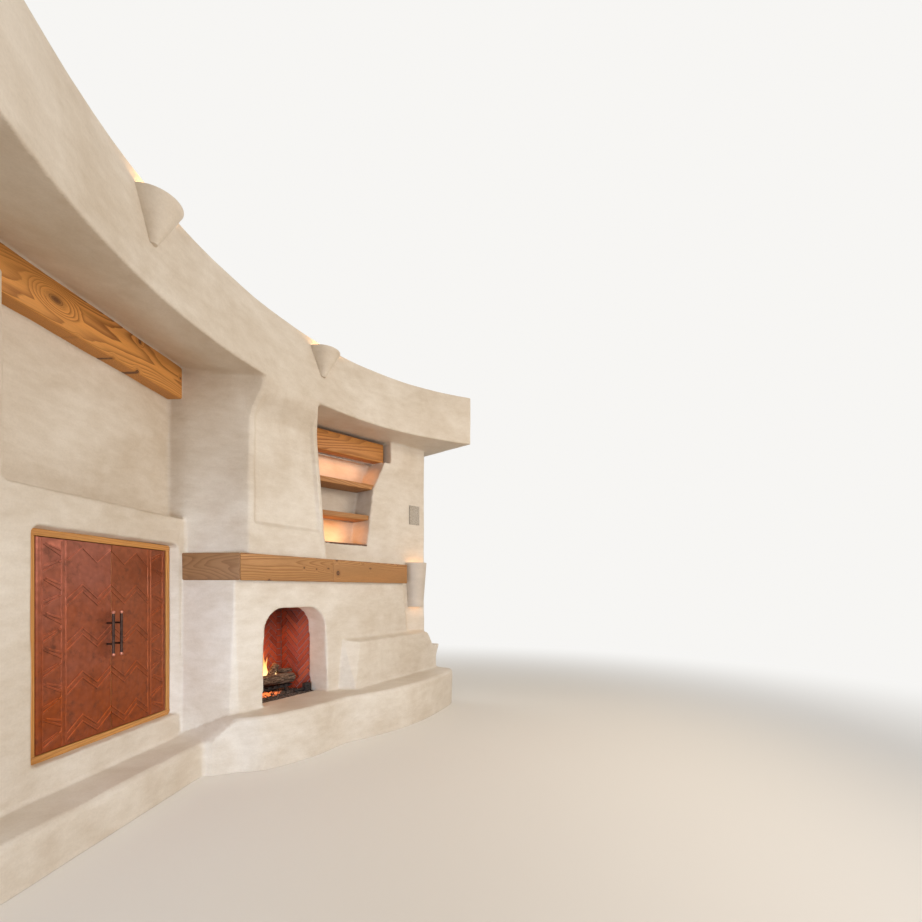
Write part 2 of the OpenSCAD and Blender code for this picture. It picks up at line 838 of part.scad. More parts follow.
// Places a left-hand leaf on its pivot, or its mirror image
module on_pivot(side) {
    in_cabinet()
        translate([side < 0 ? frame_in_left + pivot_set : frame_in_right - pivot_set, pivot_v, 0])
            mirror([side < 0 ? 0 : 1, 0, 0])
                children();
}
module leaf_core() {
    union() {
        slab(leaf_bottom, leaf_top)
            union() {
                circle(core_t / 2);
                translate([0, -core_t / 2])
                    square([leaf_l, core_t]);
            }
        translate([0, 0, leaf_bottom - pivot_l])
            cylinder(h = leaf_top - leaf_bottom + 2 * pivot_l, r = pivot_r);
    }
}
module left_door_panel() {
    color(timber)
        on_pivot(-1)
            leaf_core();
}
module right_door_panel() {
    color(timber)
        on_pivot(1)
            leaf_core();
}
// One rib that runs through the points, as tall as its width allows
module rib(points, w) {
    polygon(concat([for (p = points) p + [0, w / 2]],
        [for (i = [len(points) - 1:-1:0]) points[i] - [0, w / 2]]));
}
// Peaks at the free edge and at a third of the way from the band, and a band of crossing bars
module leaf_pattern() {
    zig_l = (leaf_l - edge_band - band_strip) / 3;
    bars = 2 * zig_rows + 2;
    bar_pitch = (leaf_top - leaf_bottom - 2 * rib_w) / bars;
    band_w = edge_band - band_x - rib_w;
    for (row = [0:zig_rows - 1], pair = [row == zig_rows - 1 ? 1 : 0, 1])
        if (pair == 1 || row < zig_rows - 1)
            rib([for (i = [0:3]) [edge_band + band_strip + zig_l * i,
                zig_first_z + zig_pitch * row - zig_pair * pair - (i % 2 == 0 ? zig_h : 0)]], rib_w * 1.2);
    for (x = [band_x, edge_band, edge_band + band_strip - rib_w])
        translate([x, leaf_bottom + rib_w])
            square([rib_w, leaf_top - leaf_bottom - 2 * rib_w]);
    for (i = [0:bars - 1], half = [0, 1]) {
        low = leaf_bottom + rib_w + bar_pitch * (i + 0.15 + 0.3 * half);
        rise = bar_pitch * (0.62 - 0.3 * half);
        reach = half == 0 ? band_w : band_w * 0.8;
        from_x = band_x + rib_w + (i % 2 == 0 ? 0 : band_w);
        to_x = from_x + (i % 2 == 0 ? reach : -reach);
        rib(from_x < to_x ? [[from_x, low], [to_x, low + rise]] : [[to_x, low + rise], [from_x, low]],
            rib_w * 1.4);
    }
}
pull_x = leaf_l - pull_set;
module leaf_copper() {
    union() {
        slab(leaf_bottom, leaf_top) {
            translate([0, -door_skin])
                square([leaf_l, copper_t]);
            intersection() {
                difference() {
                    circle(door_skin);
                    circle(core_t / 2);
                }
                translate([-door_skin, -door_skin])
                    square(door_skin);
            }
        }
        difference() {
            along_y(-door_skin - rib_t, -door_skin)
                intersection() {
                    leaf_pattern();
                    translate([band_x, leaf_bottom + rib_w])
                        square([leaf_l - band_x, leaf_top - leaf_bottom - 2 * rib_w]);
                }
            for (s = [-1, 1])
                translate([pull_x, 0, pull_z + s * pull_posts / 2])
                    rotate([90, 0, 0])
                        cylinder(h = 2 * door_skin, r = pull_r + 1);
        }
    }
}
module left_door_copper() {
    color(copper)
        on_pivot(-1)
            leaf_copper();
}
module right_door_copper() {
    color(copper)
        on_pivot(1)
            leaf_copper();
}
// A round bar on two posts, with a ball at each end
module leaf_pull() {
    bar_y = -door_skin - pull_gap - pull_r;
    union() {
        translate([pull_x, bar_y, pull_z - pull_l / 2])
            cylinder(h = pull_l, r = pull_r);
        for (s = [-1, 1]) {
            translate([pull_x, bar_y, pull_z + s * pull_l / 2])
                sphere(pull_r * 1.3);
            translate([pull_x, bar_y, pull_z + s * pull_posts / 2])
                rotate([-90, 0, 0])
                    cylinder(h = pull_gap + pull_r, r = pull_r * 0.8);
        }
    }
}
module left_door_pull() {
    color(iron)
        on_pivot(-1)
            leaf_pull();
}
module right_door_pull() {
    color(iron)
        on_pivot(1)
            leaf_pull();
}

// A stretch of the niche wall's plan from world x0 to the wall's right end
module niche_plan(x0, y0, y1) {
    polygon([nch_at_x(x0, y0), nch(0, y0), nch(0, y1), nch_at_x(x0, y1)]);
}
knee_z = upper_shelf_z - shelf_t;
// Right side of the niche, nearly upright up to the knee and leaning above it
function niche_right(z) = z < knee_z
    ? lerp(niche_right_foot, niche_right_knee, (z - niche_bottom) / (knee_z - niche_bottom))
    : lerp(niche_right_knee, niche_right_top, (z - knee_z) / (lintel_bottom - knee_z));
sill_bottom = niche_bottom - sill_t;
module niche_base_wall() {
    color(plaster)
        union() {
            slab(0, mantel_top)
                niche_plan(chimney_right, 0, niche_wall_t);
            slab(mantel_top, sill_bottom)
                niche_plan(breast_right_foot, 0, niche_wall_t);
        }
}
module niche_back_wall() {
    color(plaster)
        slab(sill_bottom, soffit_h)
            niche_plan(breast_right_foot, niche_d, niche_wall_t);
}
module niche_left_wall() {
    color(plaster)
        slab(sill_bottom, soffit_h)
            polygon([nch_at_x(breast_right_foot, 0), nch(niche_left, 0), nch(niche_left, niche_d - seat),
                nch_at_x(breast_right_foot, niche_d - seat)]);
}
module niche_right_wall() {
    color(plaster)
        in_niche()
            difference() {
                along_y(0, niche_d - seat)
                    polygon([[niche_right(sill_bottom), sill_bottom], [0, sill_bottom],
                        [0, soffit_h - seat], [niche_right_top, soffit_h - seat],
                        [niche_right_top, lintel_bottom], [niche_right_knee, knee_z]]);
                block(-far, lintel_right, -1, lintel_set + lintel_d, lintel_bottom, wall_top);
            }
}
module niche_head_wall() {
    color(plaster)
        in_niche()
            block(niche_left + seat, niche_right_top - seat, lintel_set + lintel_d, niche_d - seat,
                lintel_bottom, soffit_h - seat);
}
module niche_lintel() {
    color(timber)
        in_niche()
            block(niche_left + seat, lerp(niche_right_top, lintel_right, 0.5), lintel_set,
                lintel_set + lintel_d - seat, lintel_bottom, lintel_bottom + lintel_h);
}
module niche_board(z0, z1, y0) {
    in_niche()
        along_y(y0, niche_d - seat)
            polygon([[niche_left + seat, z0], [niche_right(z0) - seat, z0], [niche_right(z1) - seat, z1],
                [niche_left + seat, z1]]);
}
module niche_shelves() {
    color(timber) {
        niche_board(upper_shelf_z - shelf_t, upper_shelf_z, shelf_set);
        niche_board(lower_shelf_z - shelf_t, lower_shelf_z, shelf_set);
    }
}
module niche_sill() {
    color([0.30, 0.18, 0.10])
        niche_board(sill_bottom, niche_bottom, 0);
}
// A half-round tapered shell, open above and below, with the lamp's plate across its middle
module wall_sconce() {
    plate_z = sconce_z + sconce_h / 2;
    plate_r = (sconce_top_r + sconce_foot_r) / 2 - shell_t / 2;
    color(plaster)
        in_niche()
            translate([sconce_x, 0, 0])
                rotate([0, 0, 180])
                    rotate_extrude(angle = 180)
                        union() {
                            polygon([[sconce_foot_r - shell_t, sconce_z], [sconce_foot_r, sconce_z],
                                [sconce_top_r, sconce_z + sconce_h],
                                [sconce_top_r - shell_t, sconce_z + sconce_h]]);
                            translate([0, plate_z - shell_t / 2])
                                square([plate_r, shell_t]);
                        }
}
module speaker_grille() {
    color([0.6, 0.6, 0.58])
        in_niche()
            difference() {
                block(speaker_x, speaker_x + speaker_w, -speaker_rim, 0, speaker_z, speaker_z + speaker_h);
                block(speaker_x + speaker_rim, speaker_x + speaker_w - speaker_rim,
                    -2 * speaker_rim, -speaker_rim / 2,
                    speaker_z + speaker_rim, speaker_z + speaker_h - speaker_rim);
            }
}

left_centre = [header_mid_x, header_mid_y - header_left_r];
right_centre = [header_mid_x, header_mid_y - header_right_r];
out_of_cabinet = [sin(cabinet_turn), -cos(cabinet_turn)];
out_of_niche = [-sin(niche_turn), -cos(niche_turn)];
header_left = on_circle(cab(wall_left_u, 0), out_of_cabinet, left_centre, header_left_r);
header_right = on_circle(nch(header_over, 0), out_of_niche, right_centre, header_right_r);
function angle_from(c, p) = atan2(p.y - c.y, p.x - c.x);
module header_mass() {
    difference() {
        slab(soffit_h, wall_top)
            polygon(concat(
                arc(left_centre, header_left_r, angle_from(left_centre, header_left), 90, 20),
                arc(right_centre, header_right_r, 90, angle_from(right_centre, header_right), 20),
                [nch(header_over, niche_wall_t), nch_at_x(breast_right_foot, niche_wall_t),
                [breast_right_foot, back_y], cab_at_y(body_u, back_y), cab(wall_left_u, cabinet_wall_t)]));
        in_cabinet()
            along_x(-far, body_u - seat)
                polygon([[-2 * rise_w, soffit_h - soffit_rise], [0, soffit_h + soffit_rise],
                    [cabinet_wall_t + 1, soffit_h + soffit_rise],
                    [cabinet_wall_t + 1, soffit_h - soffit_rise]]);
    }
}
module header() {
    color(plaster)
        difference() {
            header_mass();
            flue_hole();
        }
}
// A cone of plaster, open above, cut where it meets the header
module light_shell(x) {
    tip = 2 * shell_t;
    color(plaster)
        difference() {
            translate([x, header_front(x), wall_top - shell_drop - shell_h])
                rotate_extrude()
                    polygon([[0, 0], [tip, 0], [shell_r, shell_h], [shell_r - shell_t, shell_h],
                        [tip - shell_t / 3, shell_t], [0, shell_t]]);
            header_mass();
        }
}
module left_light_shell() {
    light_shell(left_shell_x);
}
module right_light_shell() {
    light_shell(right_shell_x);
}

// A place along the bench right of the fire opening
function past_fire(t) = lerp(opening_half, bench_right, t);
function fire_station(x, w) = [[x, -w], hearth_h, [x, bench_back_y]];
function low_station(t, drop) = [cab(wall_left_u * t, drop - bench_low_w), bench_low_h,
    cab(wall_left_u * t, bench_nose)];
ramp_foot = cab(ramp_foot_u, bench_wave - bench_low_w);
ramp_head = [ramp_head_x, -ramp_head_w];
// A place on the ramp, its rise, and the point inside the wall that it is measured from
function ramp_station(t, rise, inner) = [lerp(ramp_foot, ramp_head, t),
    lerp(bench_low_h, hearth_h, rise), inner];
// Bench stations: top edge point, height, and a point well inside the wall
bench_stations = [
    low_station(1, 0),
    low_station(0.75, 0),
    low_station(0.5, bench_wave / 2),
    low_station(0.25, bench_wave),
    ramp_station(0, 0, cab(-2.7 * body_u, bench_nose * 1.7)),
    ramp_station(0.25, 0.07, cab(body_u / 2, bench_nose * 1.9)),
    ramp_station(0.5, 0.42, cab(body_u * 2, bench_nose * 1.25)),
    ramp_station(0.78, 0.8, cab(body_u * 3.5, 0) - [0, body_u]),
    ramp_station(1, 0.97, [-1.6 * opening_half, bench_back_y * 1.27]),
    fire_station(-1.47 * opening_half, lerp(ramp_head_w, bench_fire_w, 0.5)),
    fire_station(-1.07 * opening_half, lerp(ramp_head_w, bench_fire_w, 0.78)),
    fire_station(-0.62 * opening_half, lerp(ramp_head_w, bench_fire_w, 0.94)),
    fire_station(-0.06 * opening_half, bench_fire_w),
    fire_station(0.69 * opening_half, bench_fire_w - bench_wave * 1.2),
    fire_station(past_fire(0.048), lerp(bench_fire_w, bench_wide_w, 0.25)),
    fire_station(past_fire(0.17), lerp(bench_fire_w, bench_wide_w, 0.68)),
    fire_station(past_fire(0.33), bench_wide_w),
    fire_station(past_fire(0.53), bench_wide_w),
    fire_station(past_fire(0.74), lerp(bench_end_w, bench_wide_w, 0.65)),
    fire_station(past_fire(0.88), lerp(bench_end_w, bench_wide_w, 0.33)),
    [[bench_right - bench_skew, -bench_end_w], hearth_h, [bench_right, bench_back_y]]];
nose_steps = 5;
// The section at one station: foot, nose arc, then the back
function bench_ring(s) = let (
        top = s[0],
        inward = unit(s[2] - top),
        foot = top + inward * bench_tuck)
    concat([[foot.x, foot.y, 0]],
        [for (k = [0:nose_steps]) let (a = 90 * k / nose_steps, p = top + inward * bench_nose * (1 - cos(a)))
            [p.x, p.y, s[1] - bench_nose + bench_nose * sin(a)]],
        [[s[2].x, s[2].y, s[1]], [s[2].x, s[2].y, 0]]);
ring_n = nose_steps + 4;
sub_steps = 3;
// A smooth curve through four values, for t from b to c
function spline(a, b, c, d, t) = 0.5 * (2 * b + (c - a) * t + (2 * a - 5 * b + 4 * c - d) * t * t
    + (3 * b - a - 3 * c + d) * t * t * t);
function bench_rings() = let (
        rings = [for (s = bench_stations) bench_ring(s)],
        last = len(rings) - 1)
    concat([for (i = [0:last - 1], k = [0:sub_steps - 1])
        [for (j = [0:ring_n - 1]) let (p = spline(rings[max(i - 1, 0)][j], rings[i][j], rings[i + 1][j],
            rings[min(i + 2, last)][j], k / sub_steps))
            [p.x, p.y, min(p.z, hearth_h)]]],
        [rings[last]]);
// The plastered bench that runs along the foot of the wall
module hearth_bench() {
    color(plaster)
        difference() {
            loft(bench_rings());
            body_mass(-10, cut_deep);
            in_cabinet() {
                block(-far, body_u + 1, 0, cabinet_wall_t, -1, far);
                block(body_left_foot - 1, body_u + 1, -2 * seat, cabinet_wall_t, -1, far);
            }
            slab(-1, far)
                niche_plan(chimney_right, 0, niche_wall_t);
        }
}
// The raised block right of the fire: its left end and front lean back, its right end leans out to a lip
module bench_backrest() {
    lip_x = bench_right - rest_gap;
    notch_x = lip_x - rest_notch;
    in_y = bench_back_y - 1;
    left_top = rest_left_x + rest_lean_in;
    color(plaster)
        difference() {
            intersection() {
                hull() {
                    slab(hearth_h, hearth_h + 0.01)
                        polygon([[rest_left_x - rest_sweep * 0.6, in_y],
                            [rest_left_x + rest_sweep, rest_left_y],
                            [lip_x, rest_right_y], [lip_x, in_y]]);
                    slab(rest_front_z, rest_front_z + 0.01)
                        polygon([[left_top - rest_sweep * 0.6, in_y],
                            [left_top + rest_sweep * 1.6, rest_left_y + rest_front_lean],
                            [lip_x, rest_right_y], [lip_x, in_y]]);
                    slab(rest_back_z - 0.01, rest_back_z)
                        polygon([[left_top - rest_sweep * 0.6, in_y], [left_top, body_foot_y],
                            [lip_x, niche_end_y], [lip_x, in_y]]);
                }
                along_y(-far, far)
                    polygon([[0, hearth_h], [lip_x - rest_lean * 1.1, hearth_h],
                        [lip_x - rest_lean, lerp(hearth_h, rest_lip_z, 0.5)],
                        [lip_x, rest_lip_z - rest_lip],
                        [lip_x - rest_lip / 4, rest_lip_z],
                        [notch_x, rest_lip_z - rest_lip],
                        [lerp(rest_top_x, notch_x, 0.7), lerp(rest_lip_z, rest_front_z, 0.2)],
                        [rest_top_x + rest_lip, rest_front_z],
                        [rest_top_x, rest_back_z], [0, rest_back_z]]);
            }
            body_mass(0, cut_deep);
            slab(0, far)
                niche_plan(chimney_right, 0, niche_wall_t);
        }
}

hearth_bench();
bench_backrest();
firebox_plinth();
left_fire_pier();
right_fire_pier();
right_wing();
fire_arch();
chimney_back();
smoke_chamber();
flue_liner();
chimney_breast();
firebox_left();
firebox_right();
firebox_back();
ember_bed();
log_grate();
fire_logs();
mantel_return();
mantel_left();
mantel_right();
cabinet_base_wall();
cabinet_left_wall();
cabinet_right_wall();
cabinet_head_wall();
left_pier();
alcove_back_wall();
alcove_beam();
cabinet_frame_stiles();
cabinet_frame_rails();
left_door_panel();
right_door_panel();
left_door_copper();
right_door_copper();
left_door_pull();
right_door_pull();
niche_base_wall();
niche_left_wall();
niche_right_wall();
niche_back_wall();
niche_head_wall();
niche_lintel();
niche_shelves();
niche_sill();
wall_sconce();
speaker_grille();
header();
left_light_shell();
right_light_shell();
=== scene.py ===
import math
import random

import bmesh
import bpy
import numpy
from mathutils import Matrix, Vector, noise


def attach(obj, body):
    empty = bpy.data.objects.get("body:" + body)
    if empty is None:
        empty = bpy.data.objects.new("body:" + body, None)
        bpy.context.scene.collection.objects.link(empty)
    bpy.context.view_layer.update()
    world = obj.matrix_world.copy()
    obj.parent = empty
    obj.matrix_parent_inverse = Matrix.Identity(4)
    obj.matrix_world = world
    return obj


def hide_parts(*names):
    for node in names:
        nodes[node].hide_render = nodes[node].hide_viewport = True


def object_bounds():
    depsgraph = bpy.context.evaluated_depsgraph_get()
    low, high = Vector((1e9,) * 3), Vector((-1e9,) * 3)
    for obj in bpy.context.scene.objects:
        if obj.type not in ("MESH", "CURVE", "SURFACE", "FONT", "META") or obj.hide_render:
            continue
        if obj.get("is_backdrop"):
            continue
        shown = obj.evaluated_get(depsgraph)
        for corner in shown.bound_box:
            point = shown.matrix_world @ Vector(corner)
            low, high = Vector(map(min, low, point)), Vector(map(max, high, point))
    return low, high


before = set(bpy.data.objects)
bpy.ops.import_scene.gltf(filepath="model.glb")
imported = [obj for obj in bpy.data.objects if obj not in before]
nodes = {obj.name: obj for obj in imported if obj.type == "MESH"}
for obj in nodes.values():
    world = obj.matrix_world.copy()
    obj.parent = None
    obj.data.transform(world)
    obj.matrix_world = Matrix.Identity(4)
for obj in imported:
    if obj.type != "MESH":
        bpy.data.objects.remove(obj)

cad_low, cad_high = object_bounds()

# The room's light: plain soft daylight from large sources in front, with a pale floor under the wall.
# The camera stands where the photograph was taken, level, with the picture shifted upwards.
scene = bpy.context.scene
scene.view_settings.view_transform = "Standard"
eye_height = 1.35
view_turn = -60.4
camera_data = bpy.data.cameras.new("camera")
camera_data.sensor_width = 36
camera_data.lens = 19.52
camera_data.shift_y = 0.14
camera_data.clip_end = 60
camera = bpy.data.objects.new("camera", camera_data)
camera.location = (-3.055, -3.315, eye_height)
camera.rotation_euler = (math.radians(90), 0, math.radians(view_turn))
scene.collection.objects.link(camera)
scene.camera = camera


def feed(tree, target, value):
    if isinstance(value, bpy.types.NodeSocket):
        tree.links.new(value, target)
    else:
        target.default_value = value


def add_node(tree, kind, inputs=None, **settings):
    made = tree.nodes.new("ShaderNode" + kind)
    for key, value in settings.items():
        setattr(made, key, value)
    for socket, value in (inputs or {}).items():
        feed(tree, made.inputs[socket], value)
    return made


def maths(tree, operation, *values, clamp=False):
    made = add_node(tree, "Math", dict(enumerate(values)), operation=operation, use_clamp=clamp)
    return made.outputs[0]


def vectors(tree, operation, *values):
    made = add_node(tree, "VectorMath", dict(enumerate(values)), operation=operation)
    return made.outputs["Value" if operation == "LENGTH" else "Vector"]


def ranged(tree, value, low, high, to_low=0, to_high=1, easing="LINEAR"):
    made = add_node(tree, "MapRange", {0: value, 1: low, 2: high, 3: to_low, 4: to_high},
                    interpolation_type=easing)
    return made.outputs[0]


def new_material(name):
    made = bpy.data.materials.new(name)
    made.use_nodes = True
    return made, made.node_tree, made.node_tree.nodes["Principled BSDF"]


def hang_lamp(name, kind, place, power, colour):
    lamp = bpy.data.lights.new(name, kind)
    lamp.energy = power
    lamp.color = colour
    holder = bpy.data.objects.new(name, lamp)
    holder.location = place
    scene.collection.objects.link(holder)
    return lamp, holder


def soft_light(name, place, aim, size, power, colour, spread):
    lamp, holder = hang_lamp(name, "AREA", place, power, colour)
    lamp.shape = "RECTANGLE"
    lamp.size, lamp.size_y = size
    lamp.spread = math.radians(spread)
    holder.rotation_euler = (Vector(aim) - Vector(place)).to_track_quat("-Z", "Y").to_euler()


soft_light("window_light", (-4.4, -2.4, 0.8), (-0.3, 0.2, 0.75), (1.8, 1.2), 15, (0.66, 0.80, 1.0), 50)
soft_light("lamp_light", (2.0, -4.2, 3.3), (0.2, 0.3, 1.7), (2.2, 1.6), 68, (1.0, 0.91, 0.79), 160)
soft_light("room_light", (-1.2, -5.4, 2.6), (-0.4, 0.3, 1.7), (3.0, 2.2), 78, (1.0, 0.97, 0.95), 180)
soft_light("back_light", (1.5, 6.0, 4.2), (0.0, 0.8, 1.6), (3.4, 2.4), 120, (1.0, 0.98, 0.95), 180)

pale = (0.93, 0.92, 0.90, 1)
world = bpy.data.worlds.new("room")
world.use_nodes = True
scene.world = world
tree = world.node_tree
tree.nodes.clear()
seen = add_node(tree, "Background", {"Color": pale, "Strength": 1.0})
lit = add_node(tree, "Background", {"Color": (1.0, 0.955, 0.89, 1), "Strength": 0.42})
rays = add_node(tree, "LightPath").outputs
mirrored = maths(tree, "MAXIMUM", rays["Is Glossy Ray"], rays["Is Transmission Ray"])
shown = maths(tree, "MAXIMUM", rays["Is Camera Ray"], mirrored)
pick = add_node(tree, "MixShader", {0: shown, 1: lit.outputs[0], 2: seen.outputs[0]})
add_node(tree, "OutputWorld", {"Surface": pick.outputs[0]})

floor_size, floor_drop = 14, 0.002
fade_from, fade_to = 3.0, 8.5
bm = bmesh.new()
bmesh.ops.create_grid(bm, x_segments=1, y_segments=1, size=floor_size)
bmesh.ops.translate(bm, vec=(0, 0, -floor_drop), verts=bm.verts)
floor_mesh = bpy.data.meshes.new("floor")
bm.to_mesh(floor_mesh)
bm.free()
floor = bpy.data.objects.new("floor", floor_mesh)
scene.collection.objects.link(floor)
stone, tree, surface = new_material("pale_floor")
surface.inputs["Base Color"].default_value = (0.80, 0.755, 0.695, 1)
surface.inputs["Roughness"].default_value = 0.75
spot = add_node(tree, "TexCoord")
reach = vectors(tree, "LENGTH", spot.outputs["Object"])
fade = ranged(tree, reach, fade_from, fade_to, easing="SMOOTHSTEP")
far = maths(tree, "MULTIPLY", fade, add_node(tree, "LightPath").outputs["Is Camera Ray"])
backdrop = add_node(tree, "Emission", {"Color": pale})
melt = add_node(tree, "MixShader", {0: far, 1: surface.outputs[0], 2: backdrop.outputs[0]})
tree.links.new(melt.outputs[0], tree.nodes["Material Output"].inputs["Surface"])
floor_mesh.materials.append(stone)
floor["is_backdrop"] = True


# The masonry: adobe bricks under one continuous coat of hand-trowelled lime plaster. The solids of the
# walls are joined into one skin with soft arrises and coves, then cut into six pieces where it hardly shows.
WALL = "fireplace_wall"


def cad_copy(name):
    bm = bmesh.new()
    bm.from_mesh(nodes[name].data)
    bmesh.ops.remove_doubles(bm, verts=bm.verts, dist=0.00002)
    return bm


def join(whole, part):
    step = bpy.data.meshes.new("step")
    part.to_mesh(step)
    part.free()
    whole.from_mesh(step)
    bpy.data.meshes.remove(step)


def add_piece(name, bm, material, body=WALL, smooth=None):
    mesh = bpy.data.meshes.new(name)
    bm.to_mesh(mesh)
    bm.free()
    piece = bpy.data.objects.new(name, mesh)
    scene.collection.objects.link(piece)
    if smooth is not None:
        mesh.shade_smooth()
        mesh.set_sharp_from_angle(angle=math.radians(smooth))
    mesh.materials.append(material)
    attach(piece, body)
    return piece


def new_group(name, inputs, outputs):
    group = bpy.data.node_groups.new(name, "ShaderNodeTree")
    for label, kind, value in inputs:
        socket = group.interface.new_socket(label, in_out="INPUT", socket_type="NodeSocket" + kind)
        if value is not None:
            socket.default_value = value
    for label, kind in outputs:
        group.interface.new_socket(label, in_out="OUTPUT", socket_type="NodeSocket" + kind)
    return group, group.nodes.new("NodeGroupInput").outputs, group.nodes.new("NodeGroupOutput").inputs


def place_group(tree, group, inputs):
    placed = tree.nodes.new("ShaderNodeGroup")
    placed.node_tree = group
    for label, value in inputs.items():
        feed(tree, placed.inputs[label], value)
    return placed.outputs


def object_place(tree, scale=(1, 1, 1), turn=(0, 0, 0), shift=(0, 0, 0)):
    place = add_node(tree, "TexCoord")
    moved = add_node(tree, "Mapping", {0: place.outputs["Object"], "Scale": scale,
                                       "Rotation": [math.radians(a) for a in turn], "Location": shift})
    return moved.outputs[0]


def mottle(tree, place, scale, detail, roughness=0.5, distortion=0.0):
    made = add_node(tree, "TexNoise", {0: place, "Scale": scale, "Detail": detail, "Roughness": roughness,
                                       "Distortion": distortion})
    return made.outputs[0]


def blend(tree, factor, low, high):
    mixed = add_node(tree, "Mix", {0: factor}, data_type="RGBA")
    for socket, value in ((mixed.inputs[6], low), (mixed.inputs[7], high)):
        feed(tree, socket, (*value, 1) if isinstance(value, tuple) else value)
    return mixed.outputs[2]


def dress(tree, surface, colour, rough, metal, height, strength, distance):
    bump = add_node(tree, "Bump", {"Height": height, "Strength": strength, "Distance": distance})
    feed(tree, surface.inputs["Base Color"], colour)
    feed(tree, surface.inputs["Roughness"], rough)
    surface.inputs["Metallic"].default_value = metal
    tree.links.new(bump.outputs[0], surface.inputs["Normal"])


trowel, start, end = new_group(
    "trowelled_plaster",
    [("Light", "Color", (0.80, 0.72, 0.60, 1)), ("Dark", "Color", (0.68, 0.58, 0.46, 1))],
    [("Color", "Color"), ("Roughness", "Float"), ("Height", "Float")])
place = object_place(trowel)
cloud = mottle(trowel, place, 1.7, 5, 0.62, 0.6)
sweep = mottle(trowel, object_place(trowel, (5, 5, 14), (12, 20, 0)), 1.3, 6, 0.66)
grain = mottle(trowel, place, 95, 3)
both = maths(trowel, "MULTIPLY_ADD", sweep, 0.38, maths(trowel, "MULTIPLY", cloud, 0.62))
tone = blend(trowel, ranged(trowel, both, 0.36, 0.64), start["Dark"], start["Light"])
speck = ranged(trowel, grain, 0.3, 0.7, 0.965, 1.03)
trowel.links.new(vectors(trowel, "MULTIPLY", tone, speck), end["Color"])
trowel.links.new(ranged(trowel, sweep, 0.3, 0.7, 0.46, 0.66), end["Roughness"])
trowel.links.new(maths(trowel, "MULTIPLY_ADD", grain, 0.12, sweep), end["Height"])


def plaster_material(name, light, dark):
    made, tree, surface = new_material(name)
    coat = place_group(tree, trowel, {"Light": (*light, 1), "Dark": (*dark, 1)})
    dress(tree, surface, coat["Color"], coat["Roughness"], 0, coat["Height"], 0.35, 0.006)
    return made


plaster = plaster_material("lime_plaster", (0.71, 0.632, 0.535), (0.55, 0.453, 0.345))
masonry = ["hearth_bench", "bench_backrest", "firebox_plinth", "left_fire_pier", "right_fire_pier",
           "right_wing", "fire_arch", "chimney_back", "smoke_chamber", "chimney_breast",
           "cabinet_base_wall", "cabinet_left_wall", "cabinet_right_wall", "cabinet_head_wall", "left_pier",
           "alcove_back_wall", "niche_base_wall", "niche_left_wall", "niche_right_wall", "niche_back_wall",
           "niche_head_wall", "header"]
buried = ["mantel_return", "mantel_left", "mantel_right", "alcove_beam", "niche_lintel", "niche_sill"]
buried_inset = 0.012
overrun, touching = 0.12, 0.001
coat_voxel = 0.0135
coat_unevenness = 0.012
soft_passes, soft_angle = 26, math.radians(8)
whole = bmesh.new()
for name in masonry + buried:
    part = cad_copy(name)
    if name in buried and name != "niche_sill":
        bmesh.ops.recalc_face_normals(part, faces=part.faces)
        part.normal_update()
        for v in part.verts:
            v.co -= v.normal * v.calc_shell_factor() * buried_inset
    for v in part.verts:
        if v.co.z < touching:
            v.co.z = -overrun
        elif v.co.z > cad_high.z - touching:
            v.co.z = cad_high.z + overrun
    join(whole, part)
skin_mesh = bpy.data.meshes.new("skin")
whole.to_mesh(skin_mesh)
whole.free()
skin = bpy.data.objects.new("skin", skin_mesh)
scene.collection.objects.link(skin)
remesh = skin.modifiers.new("one_coat", "REMESH")
remesh.mode = "VOXEL"
remesh.voxel_size = coat_voxel
soften = skin.modifiers.new("soft_arrises", "SMOOTH")
soften.factor = 0.5
soften.iterations = 5
hand = bpy.data.textures.new("hand_work", "CLOUDS")
hand.noise_scale = 0.42
hand.noise_depth = 2
uneven = skin.modifiers.new("hand_work", "DISPLACE")
uneven.texture = hand
uneven.strength = coat_unevenness
uneven.mid_level = 0.5
bpy.context.view_layer.update()
shaped = bpy.data.meshes.new_from_object(skin.evaluated_get(bpy.context.evaluated_depsgraph_get()))
bpy.data.objects.remove(skin)

pairs = numpy.empty(len(shaped.edges) * 2, numpy.int32)
shaped.edges.foreach_get("vertices", pairs)
first, second = pairs[0::2], pairs[1::2]
floated = numpy.empty(len(shaped.vertices) * 3, numpy.float32)
shaped.vertex_normals.foreach_get("vector", floated)
floated = floated.reshape(-1, 3).astype(numpy.float64)
for _ in range(soft_passes):
    alike = (floated[first] * floated[second]).sum(axis=1) > math.cos(soft_angle)
    one, other = first[alike], second[alike]
    drawn = floated.copy()
    for axis in range(3):
        drawn[:, axis] += numpy.bincount(one, floated[other, axis], len(floated))
        drawn[:, axis] += numpy.bincount(other, floated[one, axis], len(floated))
    floated = drawn / numpy.linalg.norm(drawn, axis=1, keepdims=True)
shaped.attributes.new("coat_normal", "FLOAT_VECTOR", "POINT")
shaped.attributes["coat_normal"].data.foreach_set("vector", floated.astype(numpy.float32).ravel())

cabinet_turn = math.radians(25.1)
inner_corner = Vector((-0.749, 0.446, 0))
into_corner = Vector((math.cos(cabinet_turn + math.pi / 4), math.sin(cabinet_turn + math.pi / 4), 0))
corner_side = Vector((into_corner.y, -into_corner.x, 0))
up, down = (0, 0, 1), (0, 0, -1)
header_foot, mantel_cut, ledge_cut = (0, 0, 3.0), (0, 0, 1.53), (0, 0, 1.79)
breast_side = (0.397, 0, 0)
above_floor = ((0, 0, 0), down)
left_of_corner, right_of_corner = (inner_corner, corner_side), (inner_corner, -corner_side)


